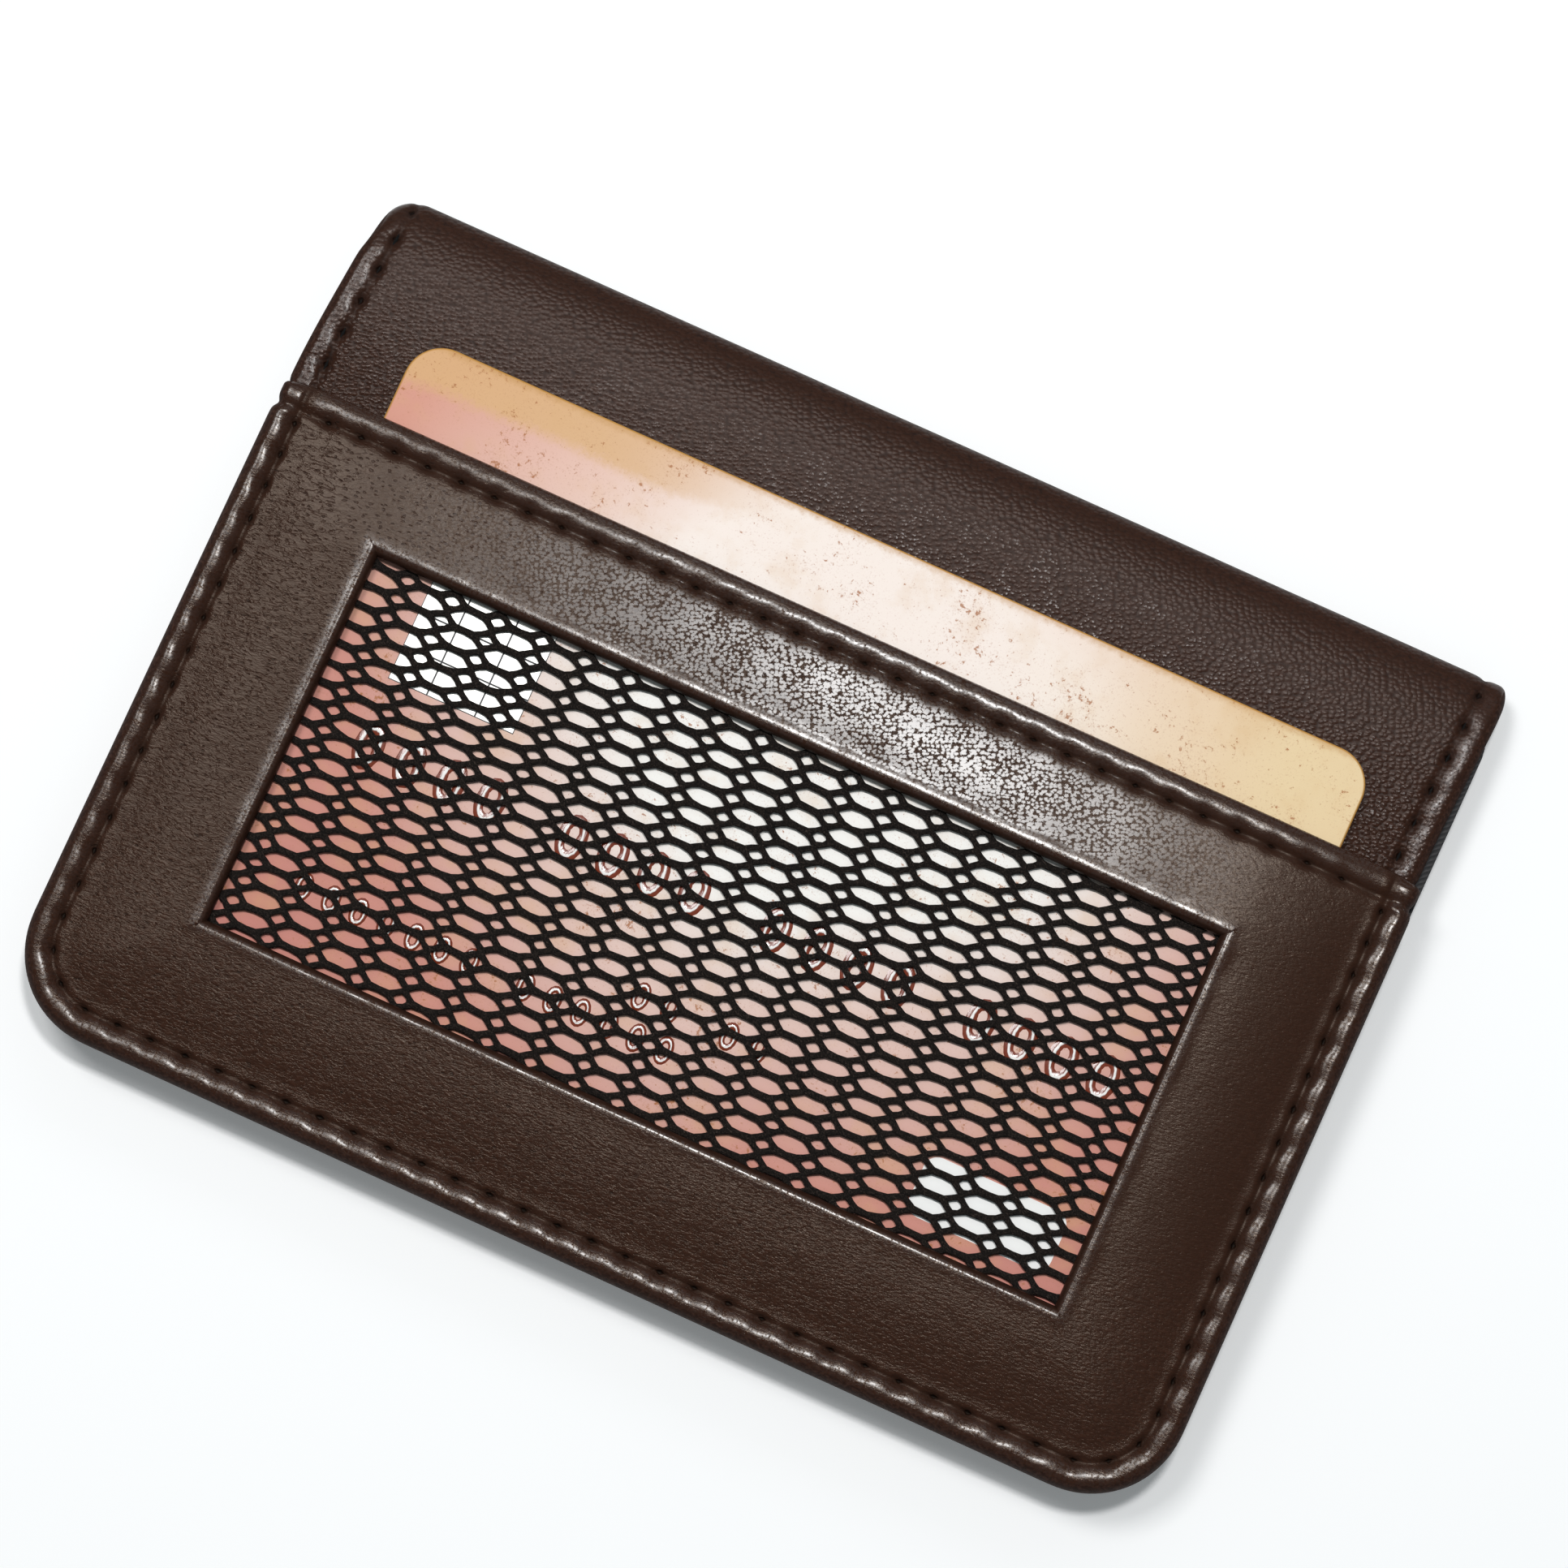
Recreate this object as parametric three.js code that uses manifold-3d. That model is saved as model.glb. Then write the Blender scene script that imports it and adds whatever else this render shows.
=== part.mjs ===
// Slim leather card wallet that folds along its top edge, with a netted window pocket and a card.
// Millimetres, +Z up. The closed wallet lies on its back: +X runs along the fold, +Y points to the fold.

import * as THREE from 'three';
import { mergeVertices } from 'three/addons/utils/BufferGeometryUtils.js';
import Module from 'manifold-3d';

// Outline of the closed wallet
const walletWidth = 102;
const walletHeight = 74.4;
const cornerRadius = 8;
const coverInset = 0.6;

// Thickness of each layer
const coverLeather = 0.7;
const coverBoard = 0.35;
const coverTurnIn = 0.4;
const liningCloth = 0.25;
const slotLeather = 0.5;
const leafGap = 0.3;
const netCord = 0.35;
const netTape = 0.1;
const panelLeather = 0.55;
const panelBoard = 0.25;
const panelTurnIn = 0.25;

// Standard card and the room it slides in
const cardWidth = 85.6;
const cardHeight = 53.98;
const cardThickness = 0.76;
const cardCorner = 3.18;
const cardClearance = 0.12;
const cardOffsetX = 0.65;
const cardRise = 7.55;
const chipWidth = 11.2;
const chipHeight = 9;
const chipThickness = 0.2;
const chipCorner = 1.4;
const chipFromLeft = 14.95;
const chipFromTop = 22.35;

// Window pocket on the front leaf
const pocketHeight = 56.5;
const windowLeft = -37.65;
const windowRight = 37.35;
const windowBottom = -24;
const windowTop = 8.6;
const windowCorner = 0.5;
const seamWidth = 3.6;
const skirtWall = 0.9;
const hemHeight = 6;
const hemDrop = 0.9;
const panelRounding = 0.25;
const windowWall = 0.6;
const windowTurnIn = 4.4;

// Net behind the window: long six-sided gaps in rows, with a small gap between each four
const netMargin = 3.8;
const netColumns = 12;
const netRows = 12;
const netBigLength = 4.7;
const netBigHeight = 2.1;
const netBigFlat = 0.55;
const netSmallLength = 1.5;
const netSmallHeight = 1.0;
const tapeInner = 1;
const tapeOuter = 4.2;

// Seams: thread, groove and stitches
const stitchPitch = 3;
const seamInset = 2.45;
const mouthSeamInset = 2.3;
const threadRadius = 0.19;
const threadSides = 5;
const threadRipple = 0.06;
const grooveWidth = 0.9;
const grooveDepth = 0.52;
const seamEndGap = 0.8;

// Inner slots, linings and boards
const liningInset = 0.4;
const slotInset = 0.6;
const boardInset = 2.2;
const boardTop = 28;
const upperSlotMouth = 18;
const lowerSlotMouth = 6;
const turnInWidth = 8;
const turnInWall = 1;
const layerClearance = 0.1;
const spineGap = 0.3;
const spineLiningTail = 2.5;
const spineLiningInset = 3;
const spineLiningGap = 0.05;

// Rounding of curves into flats
const cornerSegments = 4;
const spineSegments = 6;
const overlap = 0.05;

// Heights of the layers, worked up from the resting face
const backBoardZ = coverLeather;
const backTurnInZ = backBoardZ + coverBoard;
const backLiningZ = backTurnInZ + coverTurnIn;
const backUpperSlotZ = backLiningZ + liningCloth;
const backLowerSlotZ = backUpperSlotZ + slotLeather;
const frontLowerSlotZ = backLowerSlotZ + slotLeather + leafGap;
const frontUpperSlotZ = frontLowerSlotZ + slotLeather;
const frontLiningZ = frontUpperSlotZ + slotLeather;
const frontBoardZ = frontLiningZ + liningCloth;
const frontCoverZ = frontBoardZ + coverBoard;
const frontCoverTop = frontCoverZ + coverLeather;
const cardZ = frontCoverTop + cardClearance;
const tapeZ = cardZ + cardThickness + cardClearance;
const netZ = tapeZ + netTape;
const panelTurnInZ = netZ + netCord;
const panelBoardZ = panelTurnInZ + panelTurnIn;
const panelZ = panelBoardZ + panelBoard;
const panelTop = panelZ + panelLeather;

// Places that follow from the sizes above
const halfWidth = walletWidth / 2;
const bottomY = -walletHeight / 2;
const mouthY = bottomY + pocketHeight;
const spineRadius = frontCoverTop / 2;
const spineY = walletHeight / 2 - spineRadius;
const leafEndY = spineY - spineGap;
const cardTopY = mouthY + cardRise;
const cardCentreY = cardTopY - cardHeight / 2;

const wasm = await Module();
wasm.setup();

// Booleans

function toSolid(geometry) {
  const bare = geometry.clone();
  bare.deleteAttribute('normal');
  bare.deleteAttribute('uv');
  const merged = mergeVertices(bare, 1e-4);
  return new wasm.Manifold(new wasm.Mesh({
    numProp: 3,
    vertProperties: Float32Array.from(merged.attributes.position.array),
    triVerts: Uint32Array.from(merged.index.array),
  }));
}

function toGeometry(solid) {
  const mesh = solid.getMesh();
  const geometry = new THREE.BufferGeometry();
  geometry.setAttribute('position', new THREE.BufferAttribute(mesh.vertProperties, 3));
  geometry.setIndex(new THREE.BufferAttribute(mesh.triVerts, 1));
  geometry.computeVertexNormals();
  return geometry;
}

function join(...geometries) {
  return toGeometry(geometries.map(toSolid).reduce((whole, piece) => whole.add(piece)));
}

function cut(geometry, ...tools) {
  return toGeometry(tools.map(toSolid).reduce((whole, tool) => whole.subtract(tool), toSolid(geometry)));
}

// Flat outlines and plates

// A leaf outline: square at the top, rounded at the two bottom corners.
function leafOutline(inset, topY, shape = new THREE.Shape()) {
  const x = halfWidth - inset;
  const y = bottomY + inset;
  const r = cornerRadius - inset;
  shape.moveTo(x, topY);
  shape.lineTo(-x, topY);
  shape.absarc(-x + r, y + r, r, Math.PI, 1.5 * Math.PI);
  shape.absarc(x - r, y + r, r, 1.5 * Math.PI, 2 * Math.PI);
  shape.closePath();
  return shape;
}

// A band that follows the sides and bottom of a leaf and is open at the top.
function sideBand(outerInset, innerInset, topY) {
  const shape = new THREE.Shape();
  const outerX = halfWidth - outerInset;
  const innerX = halfWidth - innerInset;
  const outerR = cornerRadius - outerInset;
  const innerR = Math.max(cornerRadius - innerInset, overlap);
  const outerY = bottomY + outerInset + outerR;
  const innerY = bottomY + innerInset + innerR;
  shape.moveTo(-innerX, topY);
  shape.lineTo(-outerX, topY);
  shape.absarc(-outerX + outerR, outerY, outerR, Math.PI, 1.5 * Math.PI);
  shape.absarc(outerX - outerR, outerY, outerR, 1.5 * Math.PI, 2 * Math.PI);
  shape.lineTo(outerX, topY);
  shape.lineTo(innerX, topY);
  shape.absarc(innerX - innerR, innerY, innerR, 2 * Math.PI, 1.5 * Math.PI, true);
  shape.absarc(-innerX + innerR, innerY, innerR, 1.5 * Math.PI, Math.PI, true);
  shape.closePath();
  return shape;
}

function rectangle(left, right, bottom, top, radius, shape = new THREE.Shape()) {
  shape.absarc(right - radius, bottom + radius, radius, -Math.PI / 2, 0);
  shape.absarc(right - radius, top - radius, radius, 0, Math.PI / 2);
  shape.absarc(left + radius, top - radius, radius, Math.PI / 2, Math.PI);
  shape.absarc(left + radius, bottom + radius, radius, Math.PI, 1.5 * Math.PI);
  shape.closePath();
  return shape;
}

function windowRectangle(margin, shape) {
  const radius = windowCorner + margin / 2;
  return rectangle(
    windowLeft - margin, windowRight + margin, windowBottom - margin, windowTop + margin, radius, shape,
  );
}

// A frame around the window, from one margin outside it to a wider one.
function windowFrame(innerMargin, outerMargin) {
  const frame = windowRectangle(outerMargin);
  frame.holes.push(windowRectangle(innerMargin, new THREE.Path()));
  return frame;
}

// A plate of the given outline from z = 0 up, its edges eased by the rounding.
function plate(shape, thickness, rounding = 0) {
  const geometry = new THREE.ExtrudeGeometry(shape, {
    depth: thickness - 2 * rounding,
    curveSegments: cornerSegments,
    bevelEnabled: rounding > 0,
    bevelThickness: rounding,
    bevelSize: rounding,
    bevelOffset: -rounding,
    bevelSegments: 2,
  });
  return geometry.translate(0, 0, rounding);
}

function block(left, right, bottom, top, thickness) {
  const geometry = new THREE.BoxGeometry(right - left, top - bottom, thickness);
  return geometry.translate((left + right) / 2, (bottom + top) / 2, thickness / 2);
}

// Seams

// The line that a side seam sews, from the top left round the bottom to the top right.
function seamLine(inset, topY) {
  const x = halfWidth - inset;
  const r = cornerRadius - inset;
  const y = bottomY + inset + r;
  const line = new THREE.Path();
  line.moveTo(-x, topY);
  line.lineTo(-x, y);
  line.absarc(-x + r, y, r, Math.PI, 1.5 * Math.PI);
  line.absarc(x - r, y, r, 1.5 * Math.PI, 2 * Math.PI);
  line.lineTo(x, topY);
  return line;
}

function straightLine(fromX, fromY, toX, toY) {
  const line = new THREE.Path();
  line.moveTo(fromX, fromY);
  line.lineTo(toX, toY);
  return line;
}

// A running thread that rises over each stitch and dips at each needle hole.
class StitchCurve extends THREE.Curve {
  constructor(line) {
    super();
    this.line = line;
    this.stitches = Math.round(line.getLength() / stitchPitch);
  }

  getPoint(t, target = new THREE.Vector3()) {
    const flat = this.line.getPointAt(t);
    const height = -threadRipple * Math.cos(2 * Math.PI * this.stitches * t);
    return target.set(flat.x, flat.y, height);
  }

  getPointAt(t, target) {
    return this.getPoint(t, target);
  }
}

function thread(line) {
  const curve = new StitchCurve(line);
  const corners = Array.from({ length: threadSides }, (_, side) => {
    const angle = (2 * Math.PI * side) / threadSides;
    return new THREE.Vector2(threadRadius * Math.cos(angle), threadRadius * Math.sin(angle));
  });
  return new THREE.ExtrudeGeometry(new THREE.Shape(corners), {
    steps: 2 * curve.stitches,
    extrudePath: curve,
  });
}

// A groove of the side seam, cut into the face it is sewn on.
function seamGroove(inset, topY) {
  const half = grooveWidth / 2;
  return plate(sideBand(inset - half, inset + half, topY), grooveDepth + overlap);
}

// Materials

function finish(color, roughness, metalness = 0) {
  return () => new THREE.MeshStandardMaterial({ color, roughness, metalness });
}

const brownLeather = finish(0x3a2620, 0.42);
const innerLeather = finish(0x33221d, 0.5);
const blackCloth = finish(0x17151a, 0.9);
const greyBoard = finish(0x6f675e, 0.95);
const blackThread = finish(0x120e0d, 0.7);
const blackNet = finish(0x0d0b0b, 0.85);
const whiteTape = finish(0xd8d4cc, 0.8);
const cardPrint = finish(0xe3a183, 0.3);
const chipMetal = finish(0xe8e2d2, 0.25, 0.9);

const wallet = new THREE.Group();
const backLeaf = new THREE.Group();
const frontLeaf = new THREE.Group();
const cardGroup = new THREE.Group();
wallet.add(backLeaf, frontLeaf, cardGroup);

function add(group, name, geometry, material, z = 0) {
  const mesh = new THREE.Mesh(geometry, material());
  mesh.name = name;
  mesh.position.z = z;
  group.add(mesh);
}

// Back leaf, from its outer face inwards

function backCover() {
  const face = plate(leafOutline(coverInset, leafEndY), coverLeather, panelRounding);
  const edge = plate(sideBand(coverInset, coverInset + turnInWall, leafEndY), coverBoard + coverLeather);
  const turnIn = plate(sideBand(coverInset, turnInWidth, leafEndY), coverTurnIn);
  edge.translate(0, 0, coverLeather / 2);
  turnIn.translate(0, 0, backTurnInZ);
  const groove = seamGroove(coverInset + seamInset, leafEndY + overlap);
  groove.translate(0, 0, -overlap);
  return cut(join(face, edge, turnIn), groove);
}

const backSeam = seamLine(coverInset + seamInset, leafEndY - seamEndGap);
const backSeamZ = grooveDepth / 2;
add(backLeaf, 'back_cover', backCover(), brownLeather);
add(backLeaf, 'back_board', plate(leafOutline(boardInset, boardTop), coverBoard), greyBoard, backBoardZ);
add(backLeaf, 'back_lining', plate(leafOutline(slotInset, leafEndY), liningCloth), blackCloth, backLiningZ);
add(backLeaf, 'back_upper_slot', plate(leafOutline(slotInset, upperSlotMouth), slotLeather), innerLeather,
  backUpperSlotZ);
add(backLeaf, 'back_lower_slot', plate(leafOutline(slotInset, lowerSlotMouth), slotLeather), innerLeather,
  backLowerSlotZ);
add(backLeaf, 'back_seam_thread', thread(backSeam), blackThread, backSeamZ);

// Spine: the cover leather rolled over the fold, with a strip of lining inside it

// A half ring across the fold, with straight tails towards the leaves, run along X.
function foldStrip(outerRadius, thickness, tail, inset) {
  const innerRadius = outerRadius - thickness;
  const shape = new THREE.Shape();
  shape.moveTo(-tail, -innerRadius);
  shape.lineTo(-tail, -outerRadius);
  shape.absarc(0, 0, outerRadius, -Math.PI / 2, Math.PI / 2);
  shape.lineTo(-tail, outerRadius);
  shape.lineTo(-tail, innerRadius);
  shape.absarc(0, 0, innerRadius, Math.PI / 2, -Math.PI / 2, true);
  shape.closePath();
  const length = walletWidth - 2 * inset;
  const strip = new THREE.ExtrudeGeometry(shape, {
    depth: length,
    curveSegments: spineSegments,
    bevelEnabled: false,
  });
  const alongX = new THREE.Matrix4().makeBasis(
    new THREE.Vector3(0, 1, 0), new THREE.Vector3(0, 0, 1), new THREE.Vector3(1, 0, 0),
  );
  return strip.translate(0, 0, -length / 2).applyMatrix4(alongX).translate(0, spineY, 0);
}

const spineLiningRadius = spineRadius - coverLeather - spineLiningGap;
add(backLeaf, 'spine_leather', foldStrip(spineRadius, coverLeather, overlap, coverInset), brownLeather,
  spineRadius);
add(backLeaf, 'spine_lining', foldStrip(spineLiningRadius, liningCloth, spineLiningTail, spineLiningInset),
  blackCloth, spineRadius);

// Front leaf, from its inner face outwards

// The cover is narrower where the pocket panel wraps round it, and has turned sides above the pocket.
function frontCover() {
  const underPocket = skirtWall + layerClearance;
  const lower = plate(leafOutline(underPocket, mouthY), coverLeather);
  const upperX = halfWidth - coverInset;
  const upper = plate(rectangle(-upperX, upperX, mouthY + spineGap, leafEndY, overlap), coverLeather);
  const bridge = block(-halfWidth + underPocket, halfWidth - underPocket, mouthY - 1, mouthY + 1, coverLeather);
  const sides = [-1, 1].map((side) => {
    const outer = side * upperX;
    const inner = side * (upperX - turnInWall);
    const turned = block(Math.min(outer, inner), Math.max(outer, inner), mouthY + spineGap,
      boardTop, coverBoard + overlap);
    return turned.translate(0, 0, -coverBoard);
  });
  const grooves = [-1, 1].map((side) => {
    const x = side * (upperX - seamInset);
    const half = grooveWidth / 2;
    const groove = block(x - half, x + half, mouthY + spineGap - overlap, leafEndY + overlap,
      grooveDepth + overlap);
    return groove.translate(0, 0, coverLeather - grooveDepth);
  });
  return cut(join(lower, upper, bridge, ...sides), ...grooves);
}

function upperThread(side) {
  const x = side * (halfWidth - coverInset - seamInset);
  return thread(straightLine(x, mouthY + spineGap + seamEndGap, x, leafEndY - seamEndGap));
}

const upperThreadZ = frontCoverTop - grooveDepth / 2;
add(frontLeaf, 'front_lower_slot', plate(leafOutline(slotInset, lowerSlotMouth), slotLeather), innerLeather,
  frontLowerSlotZ);
add(frontLeaf, 'front_upper_slot', plate(leafOutline(slotInset, upperSlotMouth), slotLeather), innerLeather,
  frontUpperSlotZ);
add(frontLeaf, 'front_lining', plate(leafOutline(liningInset, leafEndY), liningCloth), blackCloth,
  frontLiningZ);
add(frontLeaf, 'front_board', plate(leafOutline(boardInset, boardTop), coverBoard), greyBoard, frontBoardZ);
add(frontLeaf, 'front_cover', frontCover(), brownLeather, frontCoverZ);
add(frontLeaf, 'left_upper_thread', upperThread(-1), blackThread, upperThreadZ);
add(frontLeaf, 'right_upper_thread', upperThread(1), blackThread, upperThreadZ);

// Window pocket: leather turned round its board at the window, the mouth and the leaf's edge

function pocketPanel() {
  const outline = leafOutline(0, mouthY);
  outline.holes.push(windowRectangle(0, new THREE.Path()));
  const face = plate(outline, panelLeather, panelRounding);
  face.translate(0, 0, panelZ);
  const seamBase = plate(sideBand(0, seamWidth, mouthY), panelZ - frontCoverTop + overlap);
  seamBase.translate(0, 0, frontCoverTop);
  const roundedEdge = plate(sideBand(0, seamWidth, mouthY), panelTop - frontCoverTop, panelRounding);
  roundedEdge.translate(0, 0, frontCoverTop);
  const skirt = plate(sideBand(0, skirtWall, mouthY), frontCoverTop - frontBoardZ + overlap);
  skirt.translate(0, 0, frontBoardZ);
  const hemX = halfWidth - seamWidth + overlap;
  const hem = block(-hemX, hemX, mouthY - hemHeight, mouthY, hemDrop + overlap);
  hem.translate(0, 0, panelZ - hemDrop);
  const wall = plate(windowFrame(0, windowWall), panelZ - panelTurnInZ + overlap);
  wall.translate(0, 0, panelTurnInZ);
  const turnIn = plate(windowFrame(0, windowTurnIn), panelTurnIn);
  turnIn.translate(0, 0, panelTurnInZ);
  const sideGroove = seamGroove(seamInset, mouthY + overlap);
  sideGroove.translate(0, 0, panelTop - grooveDepth);
  const mouthSeamY = mouthY - mouthSeamInset;
  const mouthX = halfWidth - seamInset;
  const mouthGroove = block(-mouthX, mouthX, mouthSeamY - grooveWidth / 2, mouthSeamY + grooveWidth / 2,
    grooveDepth + overlap);
  mouthGroove.translate(0, 0, panelTop - grooveDepth);
  return cut(join(face, seamBase, roundedEdge, skirt, hem, wall, turnIn), sideGroove, mouthGroove);
}

function panelBoardFrame() {
  const frame = leafOutline(seamWidth + layerClearance, mouthY - hemHeight - layerClearance);
  frame.holes.push(windowRectangle(windowWall + layerClearance, new THREE.Path()));
  return plate(frame, panelBoard);
}

// A gap of the net: six-sided where it has a flat top and bottom, four-sided where it doesn't.
function netGap(x, y, length, height, flat) {
  const gap = new THREE.Path();
  const reach = length / 2;
  const top = height / 2;
  const half = flat * reach;
  const corners = flat > 0
    ? [[-reach, 0], [-half, -top], [half, -top], [reach, 0], [half, top], [-half, top]]
    : [[-reach, 0], [0, -top], [reach, 0], [0, top]];
  gap.setFromPoints(corners.map(([dx, dy]) => new THREE.Vector2(x + dx, y + dy)));
  gap.closePath();
  return gap;
}

function windowNet() {
  const net = windowRectangle(netMargin);
  const pitchX = (windowRight - windowLeft) / netColumns;
  const pitchY = (windowTop - windowBottom) / netRows;
  for (let row = 0; row < netRows; row += 1) {
    for (let column = 0; column < netColumns; column += 1) {
      const x = windowLeft + (column + 0.5) * pitchX;
      const y = windowBottom + (row + 0.5) * pitchY;
      net.holes.push(netGap(x, y, netBigLength, netBigHeight, netBigFlat));
      if (row > 0 && column > 0) {
        net.holes.push(netGap(x - pitchX / 2, y - pitchY / 2, netSmallLength, netSmallHeight, 0));
      }
    }
  }
  return plate(net, netCord);
}

const pocketSeam = seamLine(seamInset, mouthY - seamEndGap);
const mouthSeamEnd = halfWidth - seamInset - 2 * seamEndGap;
const mouthSeam = straightLine(-mouthSeamEnd, mouthY - mouthSeamInset, mouthSeamEnd, mouthY - mouthSeamInset);
const panelThreadZ = panelTop - grooveDepth / 2;
add(frontLeaf, 'net_tape', plate(windowFrame(tapeInner, tapeOuter), netTape), whiteTape, tapeZ);
add(frontLeaf, 'window_net', windowNet(), blackNet, netZ);
add(frontLeaf, 'panel_board', panelBoardFrame(), greyBoard, panelBoardZ);
add(frontLeaf, 'pocket_panel', pocketPanel(), brownLeather);
add(frontLeaf, 'pocket_seam_thread', thread(pocketSeam), blackThread, panelThreadZ);
add(frontLeaf, 'pocket_mouth_thread', thread(mouthSeam), blackThread, panelThreadZ);

// Card in the pocket, with its contact chip let into the face

const cardLeft = cardOffsetX - cardWidth / 2;
const chipX = cardLeft + chipFromLeft;
const chipY = cardTopY - chipFromTop;

function chipRectangle(clearance) {
  const x = chipWidth / 2 + clearance;
  const y = chipHeight / 2 + clearance;
  return rectangle(chipX - x, chipX + x, chipY - y, chipY + y, chipCorner + clearance);
}

function cardBlank() {
  const half = cardHeight / 2;
  const outline = rectangle(cardLeft, cardLeft + cardWidth, cardCentreY - half, cardCentreY + half, cardCorner);
  const recess = plate(chipRectangle(layerClearance), chipThickness + 2 * overlap);
  recess.translate(0, 0, cardThickness - chipThickness - overlap);
  return cut(plate(outline, cardThickness), recess);
}

add(cardGroup, 'card_blank', cardBlank(), cardPrint, cardZ);
add(cardGroup, 'card_chip', plate(chipRectangle(0), chipThickness), chipMetal,
  cardZ + cardThickness - chipThickness);

export default wallet;
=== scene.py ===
"""A slim leather wallet: two sewn leaves, a netted window pocket and a card that slides out."""

from __future__ import annotations

import logging
import math
from dataclasses import dataclass, field
from enum import Enum
from typing import Any, Callable, Iterable, Sequence

import bmesh
import bpy
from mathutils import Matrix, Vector, noise


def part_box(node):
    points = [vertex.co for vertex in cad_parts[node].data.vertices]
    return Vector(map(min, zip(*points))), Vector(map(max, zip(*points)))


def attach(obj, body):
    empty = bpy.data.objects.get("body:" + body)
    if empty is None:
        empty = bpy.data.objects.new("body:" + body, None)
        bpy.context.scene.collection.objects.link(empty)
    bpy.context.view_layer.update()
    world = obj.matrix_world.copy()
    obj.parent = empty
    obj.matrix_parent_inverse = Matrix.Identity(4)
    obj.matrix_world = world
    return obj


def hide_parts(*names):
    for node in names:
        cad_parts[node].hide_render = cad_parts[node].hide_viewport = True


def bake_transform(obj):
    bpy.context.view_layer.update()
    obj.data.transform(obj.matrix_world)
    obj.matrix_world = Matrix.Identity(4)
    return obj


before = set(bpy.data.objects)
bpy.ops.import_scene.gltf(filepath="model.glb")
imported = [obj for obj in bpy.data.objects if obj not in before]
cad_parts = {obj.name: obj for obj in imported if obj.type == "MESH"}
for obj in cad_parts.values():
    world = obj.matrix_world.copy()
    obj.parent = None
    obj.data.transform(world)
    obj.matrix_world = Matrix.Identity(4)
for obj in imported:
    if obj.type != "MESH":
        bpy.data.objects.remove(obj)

LOG = logging.getLogger("wallet")
MM = 0.001
CLOSE = 1e-4
# The painted shade along a seam's groove between its stitch holes
GROOVE_SHADE = 0.16
THREAD_RADIUS = 0.17
Colour = tuple[float, float, float]


class Body(Enum):
    """The bodies that the pieces ride on."""

    BACK = "back_leaf"
    FRONT = "front_leaf"
    CARD = "card"


def smooth(share: float) -> float:
    """Eases a share from 0 to 1."""
    held = min(1.0, max(0.0, share))
    return held * held * (3.0 - 2.0 * held)


def lerp(low: float, high: float, share: float) -> float:
    """Goes from low to high by a share."""
    return low + (high - low) * share


def wander(x: float, y: float, size: float, seed: float) -> float:
    """Gives a slow, fixed wander between about -1 and 1 for a place in mm."""
    return noise.noise(Vector((x / size, y / size, seed)))


def spaced(breaks: Sequence[float], step: float) -> list[float]:
    """Spaces lines evenly between break points.

    Args:
        breaks: The places that must have a line, in order.
        step: The wanted distance between lines.

    Returns:
        Every line's place, in order.
    """
    lines = [breaks[0]]
    for low, high in zip(breaks, breaks[1:]):
        count = max(1, round((high - low) / step))
        lines += [lerp(low, high, (n + 1) / count) for n in range(count)]
    return lines


def box_mm(node: str) -> tuple[Vector, Vector]:
    """Gives a CAD node's lowest and highest corners in mm."""
    low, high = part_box(node)
    return Vector(low) / MM, Vector(high) / MM


# Finishes


class Value:
    """A node's output socket, with the operators that shader maths uses."""

    def __init__(self, shader: "Shader", socket: bpy.types.NodeSocket) -> None:
        """Keeps the socket and the shader that it belongs to."""
        self.shader = shader
        self.socket = socket

    def _math(self, operation: str, left: Any, right: Any) -> "Value":
        """Adds one Math node."""
        return self.shader.node("ShaderNodeMath", {"operation": operation}, {0: left, 1: right})

    def __add__(self, other: Any) -> "Value":
        """Adds."""
        return self._math("ADD", self, other)

    def __radd__(self, other: Any) -> "Value":
        """Adds, from the right."""
        return self._math("ADD", other, self)

    def __sub__(self, other: Any) -> "Value":
        """Subtracts."""
        return self._math("SUBTRACT", self, other)

    def __rsub__(self, other: Any) -> "Value":
        """Subtracts from another."""
        return self._math("SUBTRACT", other, self)

    def __mul__(self, other: Any) -> "Value":
        """Multiplies."""
        return self._math("MULTIPLY", self, other)

    def __rmul__(self, other: Any) -> "Value":
        """Multiplies, from the right."""
        return self._math("MULTIPLY", other, self)

    def __abs__(self) -> "Value":
        """Drops the sign."""
        return self._math("ABSOLUTE", self, 0.0)


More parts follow.
